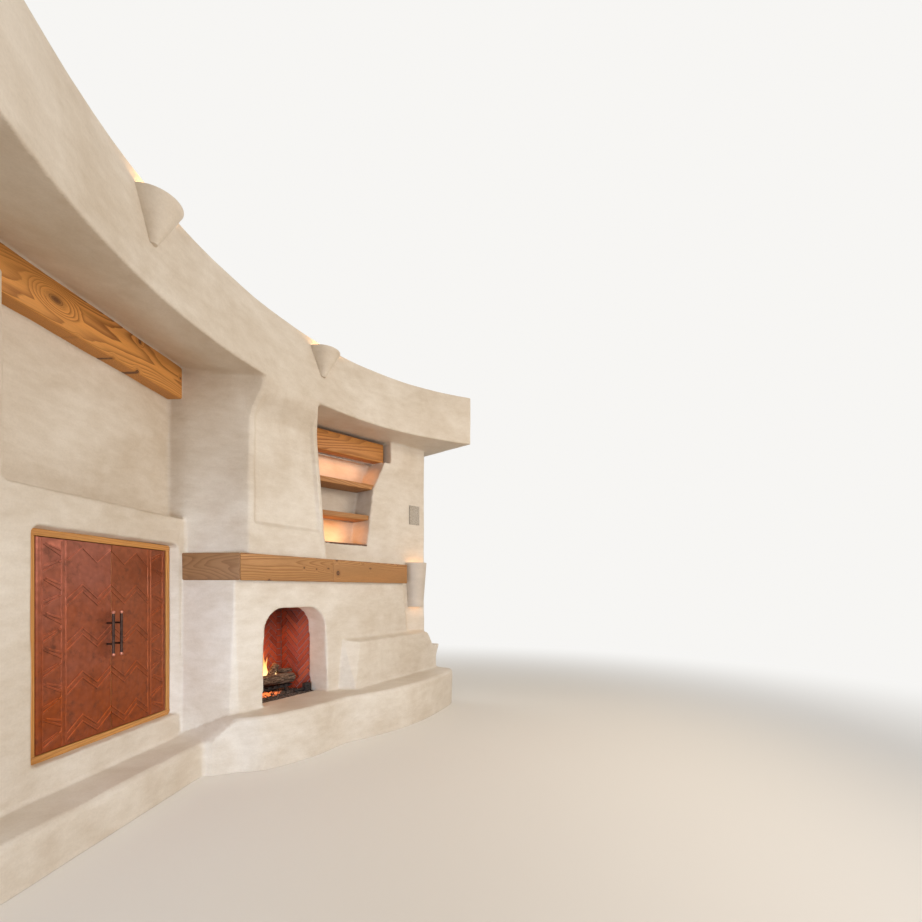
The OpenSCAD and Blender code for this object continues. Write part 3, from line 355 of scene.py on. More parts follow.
def half_space(bm, point, normal):
    bmesh.ops.bisect_plane(bm, geom=bm.verts[:] + bm.edges[:] + bm.faces[:], plane_co=point,
                           plane_no=normal, clear_outer=True)
    cap = bmesh.ops.holes_fill(bm, edges=[e for e in bm.edges if e.is_boundary], sides=0)
    for face in cap["faces"]:
        face.smooth = False


plaster_cuts = {
    "plaster_header": [(header_foot, down), ((0, 0, cad_high.z), up)],
    "plaster_alcove": [(header_foot, up), left_of_corner, (ledge_cut, down)],
    "plaster_cupboard": [(ledge_cut, up), left_of_corner, above_floor],
    "plaster_fireplace": [(mantel_cut, up), right_of_corner, above_floor],
    "plaster_breast": [(header_foot, up), right_of_corner, (mantel_cut, down), (breast_side, (1, 0, 0))],
    "plaster_niche": [(header_foot, up), (mantel_cut, down), (breast_side, (-1, 0, 0))]}
stands_for = {
    "plaster_header": ["header"],
    "plaster_alcove": ["alcove_back_wall"],
    "plaster_cupboard": ["cabinet_base_wall", "cabinet_left_wall", "cabinet_right_wall", "cabinet_head_wall",
                         "left_pier"],
    "plaster_fireplace": ["hearth_bench", "bench_backrest", "firebox_plinth", "left_fire_pier",
                          "right_fire_pier", "right_wing", "fire_arch"],
    "plaster_breast": ["chimney_back", "smoke_chamber", "chimney_breast"],
    "plaster_niche": ["niche_base_wall", "niche_left_wall", "niche_right_wall", "niche_back_wall",
                      "niche_head_wall"]}
for name, cuts in plaster_cuts.items():
    bm = bmesh.new()
    bm.from_mesh(shaped)
    coat_normal = bm.verts.layers.float_vector["coat_normal"]
    for face in bm.faces:
        face.smooth = True
    for point, normal in cuts:
        half_space(bm, Vector(point), Vector(normal))
    bm.normal_update()
    normals = [loop.vert[coat_normal].normalized() if face.smooth else face.normal.copy()
               for face in bm.faces for loop in face.loops]
    bm.verts.layers.float_vector.remove(coat_normal)
    piece = add_piece(name, bm, plaster)
    piece.data.normals_split_custom_set(normals)
    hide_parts(*stands_for[name])
bpy.data.meshes.remove(shaped)

# The timbers: a mantel in three pieces with butt joints, the alcove's beam, and the niche's lintel and
# shelves. Old pine with ring grain and knots, planed by hand and oiled, built into the masonry.
honey, umber = (0.425, 0.203, 0.066), (0.18, 0.064, 0.016)


def colour_steps(tree, factor, steps):
    ramp = add_node(tree, "ValToRGB", {0: factor})
    while len(ramp.color_ramp.elements) < len(steps):
        ramp.color_ramp.elements.new(0.5)
    for element, (place, colour) in zip(ramp.color_ramp.elements, steps):
        element.position = place
        element.color = (*colour, 1)
    return ramp.outputs[0]


pine_heart, start, end = new_group(
    "pine_heart",
    [("Place", "Vector", None), ("Pith", "Vector", (0, 0.3, 0.05)), ("Light", "Color", (0.72, 0.40, 0.15, 1)),
     ("Dark", "Color", (0.34, 0.14, 0.04, 1)), ("Ring", "Float", 0.016), ("Knots", "Float", 0.55),
     ("Cell", "Float", 3.4), ("Eye", "Vector", (90, 0, 0)), ("Eye Span", "Float", 0.06)],
    [("Color", "Color"), ("Height", "Float")])
tree = pine_heart
place = start["Place"]
slow = vectors(tree, "MULTIPLY", place, (0.55, 3.2, 3.2))
drift = add_node(tree, "TexNoise", {0: slow, "Scale": 1.0, "Detail": 2})
centred = vectors(tree, "SUBTRACT", drift.outputs[1], (0.5, 0.5, 0.5))
swing = vectors(tree, "MULTIPLY_ADD", centred, (0, 0.13, 0.13), place)
split = add_node(tree, "SeparateXYZ", {0: place}).outputs
tilt = add_node(tree, "CombineXYZ", {1: maths(tree, "MULTIPLY", split[0], 0.035),
                                     2: maths(tree, "MULTIPLY", split[0], -0.02)})
from_pith = vectors(tree, "SUBTRACT", vectors(tree, "ADD", swing, tilt.outputs[0]), start["Pith"])
radius = vectors(tree, "LENGTH", vectors(tree, "MULTIPLY", from_pith, (0, 1, 1)))
rings = maths(tree, "DIVIDE", radius, start["Ring"])
board_face = add_node(tree, "CombineXYZ", {0: split[0], 1: split[2]})
cells = add_node(tree, "TexVoronoi", {"Vector": board_face.outputs[0], "Scale": start["Cell"],
                                      "Randomness": 0.9}, voronoi_dimensions="2D").outputs
cell_draw = add_node(tree, "SeparateColor", {0: cells["Color"]}).outputs
there = maths(tree, "LESS_THAN", cell_draw[0], start["Knots"])
knot_r = ranged(tree, cell_draw[1], 0, 1, 0.006, 0.019)
ratio = maths(tree, "DIVIDE", maths(tree, "DIVIDE", cells["Distance"], start["Cell"]), knot_r)
rough_ratio = maths(tree, "MULTIPLY_ADD", mottle(tree, place, 55, 2), 0.5, ratio)
bend = maths(tree, "MULTIPLY", ranged(tree, ratio, 0.6, 4.6, 1, 0, "SMOOTHERSTEP"), there)
bent = maths(tree, "MULTIPLY_ADD", bend, 2.6, rings)
to_eye = vectors(tree, "SUBTRACT", place, start["Eye"])
eye_off = vectors(tree, "LENGTH", vectors(tree, "MULTIPLY", to_eye, (1, 0, 2.1)))
eye_far = maths(tree, "DIVIDE", eye_off, start["Eye Span"])
eye_near = ranged(tree, eye_far, 0.8, 3.4, 1, 0, "SMOOTHSTEP")
in_eye = ranged(tree, eye_far, 0.95, 1.25, 1, 0)
eyed = add_node(tree, "Mix", {0: in_eye, 2: maths(tree, "MULTIPLY_ADD", eye_near, 4.5, bent),
                              3: maths(tree, "MULTIPLY", eye_far, 3.6)})
wobble = mottle(tree, vectors(tree, "MULTIPLY", place, (3, 42, 42)), 1, 3)
year = maths(tree, "FRACT", maths(tree, "MULTIPLY_ADD", wobble, 0.45, eyed.outputs[0]))
late = colour_steps(tree, year, [(0.0, (0, 0, 0)), (0.42, (0.12, 0.12, 0.12)), (0.86, (0.9, 0.9, 0.9)),
                                 (0.93, (1, 1, 1)), (1.0, (0, 0, 0))])
pores = mottle(tree, vectors(tree, "MULTIPLY", place, (14, 520, 520)), 1, 2)
patch = mottle(tree, slow, 2.3, 2)
dark_part = maths(tree, "MULTIPLY", late, ranged(tree, patch, 0.3, 0.7, 0.35, 0.95))
ring_tone = blend(tree, dark_part, start["Light"], start["Dark"])
fibre_tone = vectors(tree, "MULTIPLY", ring_tone, ranged(tree, pores, 0.3, 0.7, 0.86, 1.07))
aged = vectors(tree, "MULTIPLY", fibre_tone, ranged(tree, patch, 0.3, 0.7, 0.84, 1.12))
knot_here = maths(tree, "MULTIPLY", ranged(tree, rough_ratio, 1.1, 1.4, 1, 0), there)
halo = maths(tree, "MULTIPLY", ranged(tree, rough_ratio, 1.2, 2.6, 0.55, 0), there)
heart = colour_steps(tree, rough_ratio, [(0.15, (0.055, 0.02, 0.008)), (0.55, (0.20, 0.075, 0.025)),
                                         (0.8, (0.13, 0.045, 0.016)), (1.0, (0.03, 0.013, 0.007))])
knotted = blend(tree, knot_here, blend(tree, halo, aged, start["Dark"]), heart)
eye_dark = ranged(tree, eye_far, 0.30, 1.10, 0.85, 0)
tree.links.new(blend(tree, eye_dark, knotted, (0.085, 0.028, 0.009)), end["Color"])
tree.links.new(maths(tree, "MULTIPLY_ADD", pores, 0.35, late), end["Height"])


def timber_material(name, turn, shift, pith, light, dark, ring=0.016, knots=0.55, cell=3.4,
                    eye=(90, 0, 0), eye_span=0.06):
    made, tree, surface = new_material(name)
    grain = place_group(tree, pine_heart, {
        "Place": object_place(tree, turn=turn, shift=shift),
        "Pith": pith, "Light": (*light, 1), "Dark": (*dark, 1), "Ring": ring, "Knots": knots, "Cell": cell,
        "Eye": eye, "Eye Span": eye_span})
    polish = ranged(tree, grain["Height"], 0, 1, 0.46, 0.64)
    dress(tree, surface, grain["Color"], polish, 0, grain["Height"], 0.25, 0.0015)
    surface.inputs["Specular IOR Level"].default_value = 0.35
    return made


def round_edges(bm, edges, width, segments, clamp=False):
    bmesh.ops.bevel(bm, geom=edges, affect="EDGES", offset=width, segments=segments, profile=0.5,
                    material=-1, clamp_overlap=clamp)


def eased(name, width, segments=3, angle=30):
    bm = cad_copy(name)
    edges = [e for e in bm.edges if e.calc_face_angle(0) > math.radians(angle)]
    round_edges(bm, edges, width, segments, clamp=True)
    return bm


def timber(name, node, material, width):
    piece = add_piece(name, eased(node, width), material, smooth=50)
    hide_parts(node)


cabinet_foot = Vector((-0.794, 0.425, 0))
across_cabinet = (0, 0, -math.degrees(cabinet_turn))
across_return = (0, 0, across_cabinet[2] - 90)
niche_turn = math.radians(13.4)
across_niche = (0, 0, math.degrees(niche_turn))
timber("mantel_left_timber", "mantel_left",
       timber_material("mantel_pine", (0, 0, 0), (3.1, 0, -1.53), (0, 0.16, -0.02), honey, umber, 0.0105,
                       0.5, 5.2, eye=(3.424, 0, 0.017), eye_span=0.022), 0.010)
timber("mantel_right_timber", "mantel_right",
       timber_material("mantel_pine_2", (0, 0, 0), (7.7, 0.03, -1.53), (0, 0.13, 0.03), honey, umber, 0.0095,
                       0.55, 5.2, eye=(8.613, 0, 0.039), eye_span=0.026), 0.010)
timber("mantel_return_timber", "mantel_return",
       timber_material("return_pine", across_return, (1.2, 0.4, -1.53), (0, 0.2, 0.01),
                       (0.33, 0.172, 0.075), (0.205, 0.098, 0.040), 0.0048, 0.15), 0.012)
beam_shift = (4.4, 0, -2.96)
beam_start = Matrix.Rotation(-cabinet_turn, 3, "Z") @ cabinet_foot
beam_eye = (beam_start.x - 1.055 + beam_shift[0], 0, 2.955 + beam_shift[2])
timber("beam_timber", "alcove_beam",
       timber_material("beam_pine", across_cabinet, beam_shift, (0, 0.22, 0.03), (0.66, 0.290, 0.068),
                       (0.20, 0.062, 0.014), 0.0075, 0.6, 4.2, eye=beam_eye), 0.014)
timber("lintel_timber", "niche_lintel",
       timber_material("lintel_pine", across_niche, (2.3, 0, -2.88), (0, 0.3, 0.0), (0.54, 0.225, 0.052),
                       (0.20, 0.062, 0.015), 0.010, 0.6, 3.4), 0.012)
timber("shelf_boards", "niche_shelves",
       timber_material("shelf_pine", across_niche, (5.6, 0, -2.4), (0, 0.4, -0.1), (0.44, 0.20, 0.062),
                       (0.22, 0.08, 0.02), 0.010, 0.35), 0.005)
timber("sill_board", "niche_sill",
       timber_material("dark_pine", across_niche, (8.2, 0, -1.8), (0, 0.4, 0.1), (0.13, 0.06, 0.03),
                       (0.05, 0.022, 0.012), 0.010, 0.2), 0.004)

# The cupboard's doors hang on pins in a slim pine frame. Each leaf is a pine board faced with copper sheet,
# beaten into zigzag ribs, with a band of short bars along its outer edge and an iron bar to pull it.
door_high, door_low = 1.60, 0.55
pull_middle = 1.075
sheet_front, relief = 0.054, 0.0005
# Painted light on the copper ribs: rib faces turned up get a painted highlight, faces turned down a painted
# shade, and the other rib faces are a little lighter, as rubbed wear.
rib_upper, rib_top, rib_under = 1.0, 0.16, -0.4
steep = 0.35


def copper_material(name, high, low):
    made, tree, surface = new_material(name)
    place = object_place(tree)
    level = add_node(tree, "SeparateXYZ", {0: place}).outputs[2]
    clouds = mottle(tree, place, 3.4, 6, 0.68)
    drift = ranged(tree, clouds, 0.3, 0.7, -0.4, 0.4)
    # Towards the top of each leaf the colour moves to the high colour, a painted reflection, and random
    # clouds shift the blend.
    top_reflection_blend = maths(tree, "ADD", ranged(tree, level, door_low, door_high), drift, clamp=True)
    spots = mottle(tree, place, 17, 5, 0.7)
    tarnish = ranged(tree, spots, 0.52, 0.72, 0, 0.62)
    dulled = blend(tree, tarnish, blend(tree, top_reflection_blend, low, high), (0.085, 0.036, 0.022))
    beaten = add_node(tree, "TexVoronoi", {0: place, "Scale": 34}, feature="SMOOTH_F1").outputs["Distance"]
    faceted = vectors(tree, "MULTIPLY", dulled, ranged(tree, beaten, 0.0, 0.75, 1.18, 0.84))
    # The rib attribute lightens upward rib faces as a painted highlight and darkens downward ones as painted
    # shade; the other rib faces are a little lighter, as rubbed wear.
    rib_light_attribute = add_node(tree, "Attribute", attribute_name="rib").outputs["Fac"]
    ribs_lit_and_rubbed = vectors(tree, "MULTIPLY", faceted, ranged(tree, rib_light_attribute, rib_under, rib_upper, 0.64, 2.25))
    dress(tree, surface, ribs_lit_and_rubbed, ranged(tree, spots, 0.3, 0.7, 0.34, 0.56), 0.72,
          maths(tree, "MULTIPLY_ADD", clouds, 0.5, beaten), 0.55, 0.0035)
    return made


def refinish(node, material):
    for holder in nodes[node].material_slots:
        holder.material = material


hammered_iron, tree, surface = new_material("hammered_iron")
place = object_place(tree)
strokes = add_node(tree, "TexVoronoi", {0: place, "Scale": 130}, feature="SMOOTH_F1").outputs["Distance"]
rust = mottle(tree, place, 40, 5)
forged = colour_steps(tree, rust, [(0.35, (0.030, 0.017, 0.013)), (0.62, (0.080, 0.042, 0.029))])
level = add_node(tree, "SeparateXYZ", {0: place}).outputs[2]
from_middle = maths(tree, "ABSOLUTE", maths(tree, "SUBTRACT", level, pull_middle))
knob = ranged(tree, from_middle, 0.124, 0.128)
dress(tree, surface, blend(tree, knob, forged, (0.50, 0.20, 0.13)), 0.5, 0.8, strokes, 0.5, 0.002)
surface.inputs["Specular IOR Level"].default_value = 0.3

straw, amber = (0.60, 0.28, 0.075), (0.36, 0.145, 0.034)
pith = (0, 0.3, 0.05)
stile_pine = timber_material("stile_pine", (0, 90, 0), (0.6, 0.2, 0), pith, straw, amber, 0.012, 0.3)
rail_pine = timber_material("rail_pine", across_cabinet, (2.1, 0, -1.0), pith, straw, amber, 0.012, 0.3)
timber("frame_stiles", "cabinet_frame_stiles", stile_pine, 0.004)
timber("frame_rails", "cabinet_frame_rails", rail_pine, 0.004)
to_cabinet = (Matrix.Translation(cabinet_foot) @ Matrix.Rotation(cabinet_turn, 4, "Z")).inverted()
# The high colour of each leaf is a painted reflection on its upper part; the low colour is the copper lower
# down.
door_copper = {"left": ((0.29, 0.092, 0.056), (0.275, 0.058, 0.010)),
               "right": ((0.265, 0.076, 0.032), (0.265, 0.058, 0.012))}
for side, (high, low) in door_copper.items():
    beaten = eased(side + "_door_copper", 0.0013, 1, 25)
    ribs = []
    for face in beaten.faces:
        proud = (to_cabinet @ face.calc_center_median()).y < sheet_front - relief
        # Faces turned up take the painted highlight value, faces turned down the painted shade value, and the
        # other proud faces the wear value.
        facing_light = rib_upper if face.normal.z > steep else rib_under if face.normal.z < -steep else rib_top
        ribs.append(facing_light if proud else 0.0)
    sheet = add_piece(side + "_copper_sheet", beaten, copper_material(side + "_beaten_copper", high, low),
                      side + "_door", 28)
    sheet.data.attributes.new("rib", "FLOAT", "FACE").data.foreach_set("value", ribs)
    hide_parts(side + "_door_copper")
    board = add_piece(side + "_door_board", eased(side + "_door_panel", 0.0012, 2, 60), stile_pine,
                      side + "_door", 50)
    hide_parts(side + "_door_panel")
    refinish(side + "_door_pull", hammered_iron)

# The firebox: slim red firebricks in a herringbone, bedded in grey mortar on the back and both sides, with a
# column of headers in the back corners and two level courses at the top. Soot darkens it towards the throat.
joint = 0.0065
course = 0.0476
rows = 4
peak_across = (rows - 0.75) * 1.077
arris = 0.0022
brick_depth = 0.030
mortar_recess = 0.006
lining_top, lining_foot, lining_back = 1.25, 0.405, 0.62
splay_x, splay_y = 0.118, 0.993
herring_top = lining_top - 2 * course
column_out, column_in = 0.318, 0.267
diagonal = math.sqrt(0.5)
brick_dice = random.Random(7)
bricks = bmesh.new()
brick_tones = []


def lay_brick(panel, centre, length, height, turn, borders):
    brick = bmesh.new()
    bmesh.ops.create_cube(brick, size=1)
    bmesh.ops.scale(brick, vec=(length - joint, brick_depth, height - joint), verts=brick.verts)
    round_edges(brick, brick.edges[:], arris, 1)
    bmesh.ops.rotate(brick, cent=(0, 0, 0), matrix=Matrix.Rotation(-turn, 3, "Y"), verts=brick.verts)
    proud = brick_dice.uniform(-0.0012, 0.0012)
    bmesh.ops.translate(brick, vec=(centre[0], brick_depth / 2 + proud, centre[1]), verts=brick.verts)
    for point, normal in borders:
        if brick.verts and any((v.co - Vector(point)).dot(Vector(normal)) > 0 for v in brick.verts):
            half_space(brick, Vector(point), Vector(normal))
    if len(brick.faces) > 3:
        brick.transform(panel)
        brick_tones.extend([brick_dice.random()] * len(brick.faces))
        join(bricks, brick)
    else:
        brick.free()


def herringbone(panel, x0, x1, z0, z1, first_peak):
    shift = first_peak - peak_across * course * diagonal
    borders = [((x0, 0, 0), (-1, 0, 0)), ((x1, 0, 0), (1, 0, 0)), ((0, 0, z0), (0, 0, -1)),
               ((0, 0, z1), (0, 0, 1))]
    reach = rows * course / 2
    for i in range(-6, 22):
        for j in range(-3, 4):
            for middle, turn in (((rows / 2, 0.5), 45), ((rows + 0.5, 1 - rows / 2), 135)):
                u, v = middle[0] + i + rows * j, middle[1] + i - rows * j
                x, z = (u - v) * diagonal * course + shift, (u + v) * diagonal * course + z0 - 0.02
                if x0 - reach < x < x1 + reach and z0 - reach < z < z1 + reach:
                    lay_brick(panel, (x, z), rows * course, course, math.radians(turn), borders)


def level_courses(panel, x0, x1):
    borders = [((x0, 0, 0), (-1, 0, 0)), ((x1, 0, 0), (1, 0, 0))]
    for row in range(2):
        for i in range(5):
            x = x0 + (i + 0.5 * row) * rows * course
            if x - rows * course / 2 < x1 - joint:
                lay_brick(panel, (x, herring_top + (row + 0.5) * course), rows * course, course, 0, borders)


def panel_at(origin, along, inward):
    axes = Matrix((along, inward, (0, 0, 1))).transposed().to_4x4()
    return Matrix.Translation(Vector(origin)) @ axes


back_panel = panel_at((0, lining_back, 0), (1, 0, 0), (0, 1, 0))
right_panel = panel_at((0.320, lining_back, 0), (splay_x, -splay_y, 0), (splay_y, splay_x, 0))
left_panel = panel_at((-0.3617, 0.27, 0), (splay_x, splay_y, 0), (-splay_y, splay_x, 0))
right_span, left_span = (0.004, 0.350), (0.002, 0.348)
herringbone(back_panel, -column_in, column_in, lining_foot, herring_top, 0.189)
herringbone(right_panel, *right_span, lining_foot, herring_top, 0.067)
herringbone(left_panel, *left_span, lining_foot, herring_top, 0.285)
level_courses(back_panel, -column_out, column_out)
level_courses(right_panel, *right_span)
level_courses(left_panel, *left_span)
hearth = 0.41
header_count = 12
header_pitch = (herring_top - hearth) / header_count
for side in (-1, 1):
    for i in range(header_count):
        lay_brick(back_panel, (side * (column_in + column_out) / 2, hearth + (i + 0.5) * header_pitch),
                  column_out - column_in + joint / 2, header_pitch, 0, [])

soot, start, end = new_group("soot", [("Color", "Color", (0.4, 0.1, 0.05, 1)), ("From", "Float", 0.95),
                                      ("To", "Float", 1.30)], [("Color", "Color")])
place = object_place(soot)
level = add_node(soot, "SeparateXYZ", {0: place}).outputs[2]
wander = maths(soot, "MULTIPLY_ADD", mottle(soot, place, 4.5, 5), 0.35, level)
smoked = ranged(soot, wander, start["From"], start["To"], 0, 0.72)
soot.links.new(blend(soot, smoked, start["Color"], (0.035, 0.020, 0.015)), end["Color"])
soot_from, soot_to = 1.12, 1.45

brick_red, tree, surface = new_material("brick_red")
place = object_place(tree)
tone = add_node(tree, "Attribute", attribute_name="tone").outputs["Fac"]
fired = colour_steps(tree, tone, [(0.0, (0.29, 0.045, 0.018)), (0.45, (0.39, 0.068, 0.027)),
                                  (0.8, (0.47, 0.092, 0.036)), (1.0, (0.34, 0.068, 0.040))])
pits = mottle(tree, place, 60, 6, 0.7)
mottled = vectors(tree, "MULTIPLY", fired, ranged(tree, pits, 0.3, 0.7, 0.78, 1.14))
sooted = place_group(tree, soot, {"Color": mottled, "From": soot_from, "To": soot_to})
dress(tree, surface, sooted["Color"], 0.82, 0, pits, 0.5, 0.003)
fire_mortar, tree, surface = new_material("fire_mortar")
sand = mottle(tree, object_place(tree), 180, 4)
bedding = colour_steps(tree, sand, [(0.3, (0.20, 0.145, 0.145)), (0.7, (0.31, 0.24, 0.245))])
sooted = place_group(tree, soot, {"Color": bedding, "From": soot_from, "To": soot_to})
dress(tree, surface, sooted["Color"], 0.9, 0, sand, 0.5, 0.002)

lining = add_piece("firebox_bricks", bricks, brick_red)
lining.data.attributes.new("tone", "FLOAT", "FACE").data.foreach_set("value", brick_tones)
corner_tuck, inner_reach = 0.010, 0.37
bed = bmesh.new()
for name in ("firebox_left", "firebox_right", "firebox_back"):
    part = cad_copy(name)
    for v in part.verts:
        if name == "firebox_back" and v.co.y < lining_back + touching:
            v.co.y += mortar_recess
        elif name != "firebox_back":
            v.co.y += corner_tuck if v.co.y > lining_back - 0.02 else 0
            v.co.x += math.copysign(mortar_recess, v.co.x) if abs(v.co.x) < inner_reach else 0
    join(bed, part)
mortar_bed = add_piece("firebox_mortar", bed, fire_mortar)
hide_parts("firebox_left", "firebox_right", "firebox_back")
flue_clay, tree, surface = new_material("flue_clay")
clay = mottle(tree, object_place(tree), 9, 6)
bisque = colour_steps(tree, clay, [(0.3, (0.40, 0.17, 0.09)), (0.7, (0.55, 0.27, 0.15))])
dress(tree, surface, bisque, 0.85, 0, clay, 0.3, 0.003)
refinish("flue_liner", flue_clay)

# The gas fire: crushed lava rock in the sunk tray, an iron grate, split logs of charred fireclay and a valve
# box in the right corner. The flames are thin closed tongues that glow, and two small lamps give their light.
lava, tree, surface = new_material("lava_rock")
pores = mottle(tree, object_place(tree), 110, 6, 0.75)
ash = colour_steps(tree, pores, [(0.35, (0.024, 0.017, 0.014)), (0.52, (0.095, 0.064, 0.048)),
                                 (0.68, (0.26, 0.19, 0.145))])
dress(tree, surface, ash, 0.92, 0, pores, 0.8, 0.004)
glow = add_node(tree, "Attribute", attribute_name="glow").outputs["Fac"]
tree.links.new(vectors(tree, "MULTIPLY", (1.0, 0.20, 0.045), glow), surface.inputs["Emission Color"])
surface.inputs["Emission Strength"].default_value = 1.5
rock_dice = random.Random(21)
rocks = bmesh.new()
glows = []
rock_count, rock_faces = 720, 20
tray_front, tray_turn, tray_back = 0.197, 0.27, 0.612
tray_wide, tray_draw_in = 0.338, 0.028
ember_top = 0.404


def tray_half(y):
    past_turn = max(0.0, y - tray_turn) / (tray_back - tray_turn)
    return tray_wide - tray_draw_in * past_turn


for _ in range(rock_count):
    y = rock_dice.uniform(tray_front, tray_back)
    x = rock_dice.uniform(-1, 1) * (tray_half(y) - 0.008)
    size = rock_dice.uniform(0.0085, 0.0150)
    made = bmesh.ops.create_icosphere(rocks, subdivisions=1, radius=size)["verts"]
    for v in made:
        v.co *= rock_dice.uniform(0.72, 1.12)
    bmesh.ops.rotate(rocks, cent=(0, 0, 0), verts=made,
                     matrix=Matrix.Rotation(rock_dice.uniform(0, 6.28), 3, Vector((x, y, 0.3)).normalized()))
    mound = 0.010 * math.cos(x * 4) * math.sin(math.pi * (y - tray_front) / (tray_back - tray_front))
    bmesh.ops.translate(rocks, vec=(x, y, ember_top + mound + rock_dice.uniform(-0.004, 0.004)), verts=made)
    near_fire = max(0, 1 - math.hypot((x + 0.06) / 0.20, (y - 0.40) / 0.10))
    glows.extend([min(1.0, near_fire * 2.2) if rock_dice.random() < 0.7 else 0.0] * rock_faces)
stones = add_piece("lava_rocks", rocks, lava)
stones.data.attributes.new("glow", "FLOAT", "FACE").data.foreach_set("value", glows)
refinish("ember_bed", lava)

charred, tree, surface = new_material("charred_wood")
split_bark = mottle(tree, object_place(tree, (9, 60, 60)), 1, 7, 0.72, 1.2)
bark_tone = colour_steps(tree, split_bark, [(0.38, (0.012, 0.008, 0.006)), (0.47, (0.085, 0.046, 0.028)),
                                            (0.56, (0.26, 0.16, 0.10)), (0.68, (0.46, 0.34, 0.25))])
dress(tree, surface, bark_tone, 0.9, 0, split_bark, 0.9, 0.010)


def bark_log(pile, start, end, radius, seed):
    length = (Vector(end) - Vector(start)).length
    log = bmesh.new()
    bmesh.ops.create_cone(log, cap_ends=True, segments=20, radius1=radius, radius2=radius * 0.92,
                          depth=length)
    long_edges = [e for e in log.edges if abs(e.verts[0].co.z - e.verts[1].co.z) > length / 2]
    bmesh.ops.subdivide_edges(log, edges=long_edges, cuts=16)
    ends = [f for f in log.faces if abs(f.normal.z) > 0.9]
    bmesh.ops.inset_individual(log, faces=ends, thickness=radius * 0.3, depth=-0.003)
    for v in log.verts:
        rim = v.co.copy()
        wave = noise.noise(Vector((rim.x * 28, rim.y * 28, rim.z * 7 + seed * 5)))
        crack = abs(noise.noise(Vector((rim.x * 75, rim.y * 75, rim.z * 12 + seed * 9))))
        out = Vector((rim.x, rim.y, 0)).normalized()
        v.co += out * (wave * 0.010 - crack * 0.009)
        v.co.x += math.sin(rim.z * 5 + seed) * 0.006
    bmesh.ops.recalc_face_normals(log, faces=log.faces)
    turn = (Vector(end) - Vector(start)).to_track_quat("Z", "Y").to_matrix().to_4x4()
    log.transform(Matrix.Translation((Vector(start) + Vector(end)) / 2) @ turn)
    join(pile, log)


pile = bmesh.new()
bark_log(pile, (-0.24, 0.388, 0.545), (0.255, 0.384, 0.536), 0.047, 1)
bark_log(pile, (-0.25, 0.492, 0.545), (0.25, 0.492, 0.545), 0.050, 2)
bark_log(pile, (0.010, 0.445, 0.540), (0.100, 0.425, 0.668), 0.036, 3)
bark_log(pile, (0.105, 0.432, 0.606), (0.275, 0.445, 0.592), 0.020, 4)
bark_log(pile, (-0.235, 0.455, 0.600), (-0.075, 0.430, 0.612), 0.030, 5)
logs = add_piece("charred_logs", pile, charred, smooth=60)
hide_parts("fire_logs")
grate_iron, tree, surface = new_material("grate_iron")
scale_marks = mottle(tree, object_place(tree), 70, 6)
scaled = colour_steps(tree, scale_marks, [(0.3, (0.018, 0.016, 0.016)), (0.7, (0.060, 0.045, 0.038))])
dress(tree, surface, scaled, 0.6, 0.5, scale_marks, 0.4, 0.001)
refinish("log_grate", grate_iron)
valve = bmesh.new()
bmesh.ops.create_cube(valve, size=1)
bmesh.ops.scale(valve, vec=(0.066, 0.050, 0.078), verts=valve.verts)
bmesh.ops.translate(valve, vec=(0.298, 0.250, 0.446), verts=valve.verts)
round_edges(valve, valve.edges[:], 0.004, 2)
for place, axis, foot_r, tip_r, length in (((0.292, 0.219, 0.462), "X", 0.011, 0.009, 0.016),
                                           ((0.215, 0.258, 0.432), "Y", 0.012, 0.012, 0.12)):
    bmesh.ops.create_cone(valve, cap_ends=True, segments=16, radius1=foot_r, radius2=tip_r, depth=length,
                          matrix=Matrix.Translation(place) @ Matrix.Rotation(math.pi / 2, 4, axis))
add_piece("valve_box", valve, grate_iron, smooth=35)

flame_glow, tree, surface = new_material("flame_glow")
level = add_node(tree, "SeparateXYZ", {0: object_place(tree)}).outputs[2]
lick = mottle(tree, object_place(tree, (1, 1, 0.35)), 26, 3)
rise = ranged(tree, maths(tree, "MULTIPLY_ADD", lick, 0.10, level), 0.60, 0.83)
heat = colour_steps(tree, rise, [(0.0, (1.0, 0.74, 0.34)), (0.45, (1.0, 0.52, 0.16)),
                                 (1.0, (0.95, 0.22, 0.05))])
tree.links.new(heat, surface.inputs["Emission Color"])
surface.inputs["Emission Strength"].default_value = 2.2
surface.inputs["Base Color"].default_value = (0.0, 0.0, 0.0, 1)
tree.links.new(ranged(tree, rise, 0.2, 1.0, 0.92, 0.12), surface.inputs["Alpha"])
tongues = bmesh.new()
flame_dice = random.Random(5)
for x, y, foot, tall, wide in ((-0.035, 0.437, 0.570, 0.235, 0.028), (-0.075, 0.430, 0.575, 0.215, 0.026),
                               (-0.005, 0.445, 0.570, 0.180, 0.022), (-0.125, 0.435, 0.575, 0.190, 0.024),
                               (-0.180, 0.437, 0.570, 0.160, 0.022), (0.085, 0.436, 0.555, 0.050, 0.032)):
    made = bmesh.ops.create_uvsphere(tongues, u_segments=14, v_segments=14, radius=1)["verts"]
    lean = flame_dice.uniform(-0.020, 0.020)
    for v in made:
        t = (v.co.z + 1) / 2
        taper = 1.15 - 0.95 * t ** 0.8
        v.co = Vector((x + v.co.x * wide * taper + lean * t * t + 0.006 * math.sin(9 * t + x * 60),
                       y + v.co.y * wide * 0.6 * taper, foot + tall * t ** 1.15))
add_piece("flames", tongues, flame_glow, smooth=180)


def small_lamp(name, place, power, colour, radius):
    hang_lamp(name, "POINT", place, power, colour)[0].shadow_soft_size = radius


small_lamp("fire_light", (-0.04, 0.47, 0.74), 2.1, (1.0, 0.42, 0.16), 0.07)
small_lamp("ember_light", (0.20, 0.50, 0.50), 0.8, (1.0, 0.34, 0.10), 0.05)

